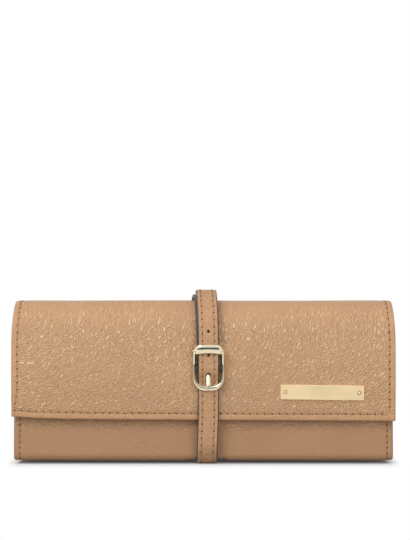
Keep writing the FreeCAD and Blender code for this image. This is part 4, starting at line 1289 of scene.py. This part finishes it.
class WRAPCASE_OT_stage(bpy.types.Operator):
    """Pale floor, soft studio light and the camera at the photograph's place."""

    bl_idname = "wrap_case.stage"
    bl_label = "Stage"

    def execute(self, context):
        self.floor()
        self.world(context.scene)
        self.lamp("key_softbox", (-0.55, -0.9, 0.9), (0, 0, 0.05), 0.7, 8.2)
        self.lamp("fill_softbox", (0.5, -1.3, 0.14), (0, 0, 0.05), 0.9, 8.0, False)
        self.camera(context.scene)
        return {"FINISHED"}

    def floor(self):
        """A square of floor round the case."""
        reach = 0.7
        floor = bpy.data.meshes.new("studio_floor")
        corners = [(-reach, -reach, 0), (reach, -reach, 0), (reach, reach, 0), (-reach, reach, 0)]
        floor.from_pydata(corners, [], [(0, 1, 2, 3)])
        floor.materials.append(material("white_studio_floor"))
        made = bpy.data.objects.new("studio_floor", floor)
        bpy.context.scene.collection.objects.link(made)

    def world(self, scene):
        """A white surround, dimmer where it lights the case. Metal sees a darker room low in front of it."""
        world = scene.world or bpy.data.worlds.new("studio")
        scene.world = world
        world.use_nodes = True
        tree = world.node_tree
        tree.nodes.clear()
        place = add(tree, "TexCoord").outputs["Generated"]
        toward = add(tree, "SeparateXYZ", {"Vector": place}).outputs
        front = ramp(tree, toward["Y"], -0.3, -0.9, eased=True)
        low = ramp(tree, toward["Z"], 0.5, 0.1, eased=True)
        mirrored = ramp(tree, calc(tree, "MULTIPLY", front, low), to_low=1.0, to_high=0.1)
        seen = add(tree, "LightPath").outputs
        direct = calc(tree, "MAXIMUM", seen["Is Camera Ray"], seen["Is Transmission Ray"])
        even = ramp(tree, direct, to_low=0.45)
        strength = add(tree, "Mix", {0: seen["Is Glossy Ray"], 2: even, 3: mirrored})
        sky = add(tree, "Background", {"Color": (1, 1, 1, 1), "Strength": strength})
        add(tree, "OutputWorld", {"Surface": sky})
        scene.view_settings.view_transform = "Standard"

    def lamp(self, name, place, target, size, power, mirrored=True):
        """An area lamp at a place, turned to a target, that metal may or may not show."""
        light = bpy.data.lights.new(name, "AREA")
        light.size, light.energy = size, power
        lamp = bpy.data.objects.new(name, light)
        lamp.location = place
        lamp.visible_glossy = mirrored
        x, y, z = np.subtract(target, place)
        lamp.rotation_euler = (math.atan2(math.hypot(x, y), -z), 0, math.atan2(y, x) - math.pi / 2)
        bpy.context.scene.collection.objects.link(lamp)

    def camera(self, scene):
        """A level camera whose image scale at the flap is the photograph's."""
        distance, pixel, tall, place_x, place_z = 1.4, 0.5974 * MM, 540, 0.93 * MM, 116.5 * MM
        lens = bpy.data.cameras.new("camera")
        lens.sensor_width = 36.0
        lens.lens = (distance + FRONT_Y) / pixel * lens.sensor_width / tall
        camera = bpy.data.objects.new("camera", lens)
        camera.location = (place_x, -distance, place_z)
        camera.rotation_euler = (math.pi / 2, 0, 0)
        scene.collection.objects.link(camera)
        scene.camera = camera


class WRAPCASE_PT_panel(bpy.types.Panel):
    """Buttons for the pieces of the case, with their sizes and colours."""

    bl_idname = "WRAPCASE_PT_panel"
    bl_label = "Wrap case"
    bl_space_type = "VIEW_3D"
    bl_region_type = "UI"
    bl_category = "Wrap case"

    def draw(self, context):
        for step in STEPS:
            self.layout.operator(step.bl_idname)
        for group in (sizes(), colours()):
            for prop in group.__annotations__:
                self.layout.prop(group, prop)


STEPS = (WRAPCASE_OT_skin, WRAPCASE_OT_lining, WRAPCASE_OT_strap, WRAPCASE_OT_buckle, WRAPCASE_OT_plate,
         WRAPCASE_OT_zip_pocket, WRAPCASE_OT_ring_bar, WRAPCASE_OT_stage)
CLASSES = (WrapCaseSizes, WrapCaseColours, *STEPS, WRAPCASE_PT_panel)


def register():
    for item in CLASSES:
        bpy.utils.register_class(item)
    bpy.types.Scene.wrap_case_sizes = bpy.props.PointerProperty(type=WrapCaseSizes)
    bpy.types.Scene.wrap_case_colours = bpy.props.PointerProperty(type=WrapCaseColours)


def unregister():
    del bpy.types.Scene.wrap_case_colours
    del bpy.types.Scene.wrap_case_sizes
    for item in reversed(CLASSES):
        bpy.utils.unregister_class(item)


def main():
    register()
    for step in STEPS:
        group, name = step.bl_idname.split(".")
        getattr(getattr(bpy.ops, group), name)()


if __name__ == "__main__":
    main()
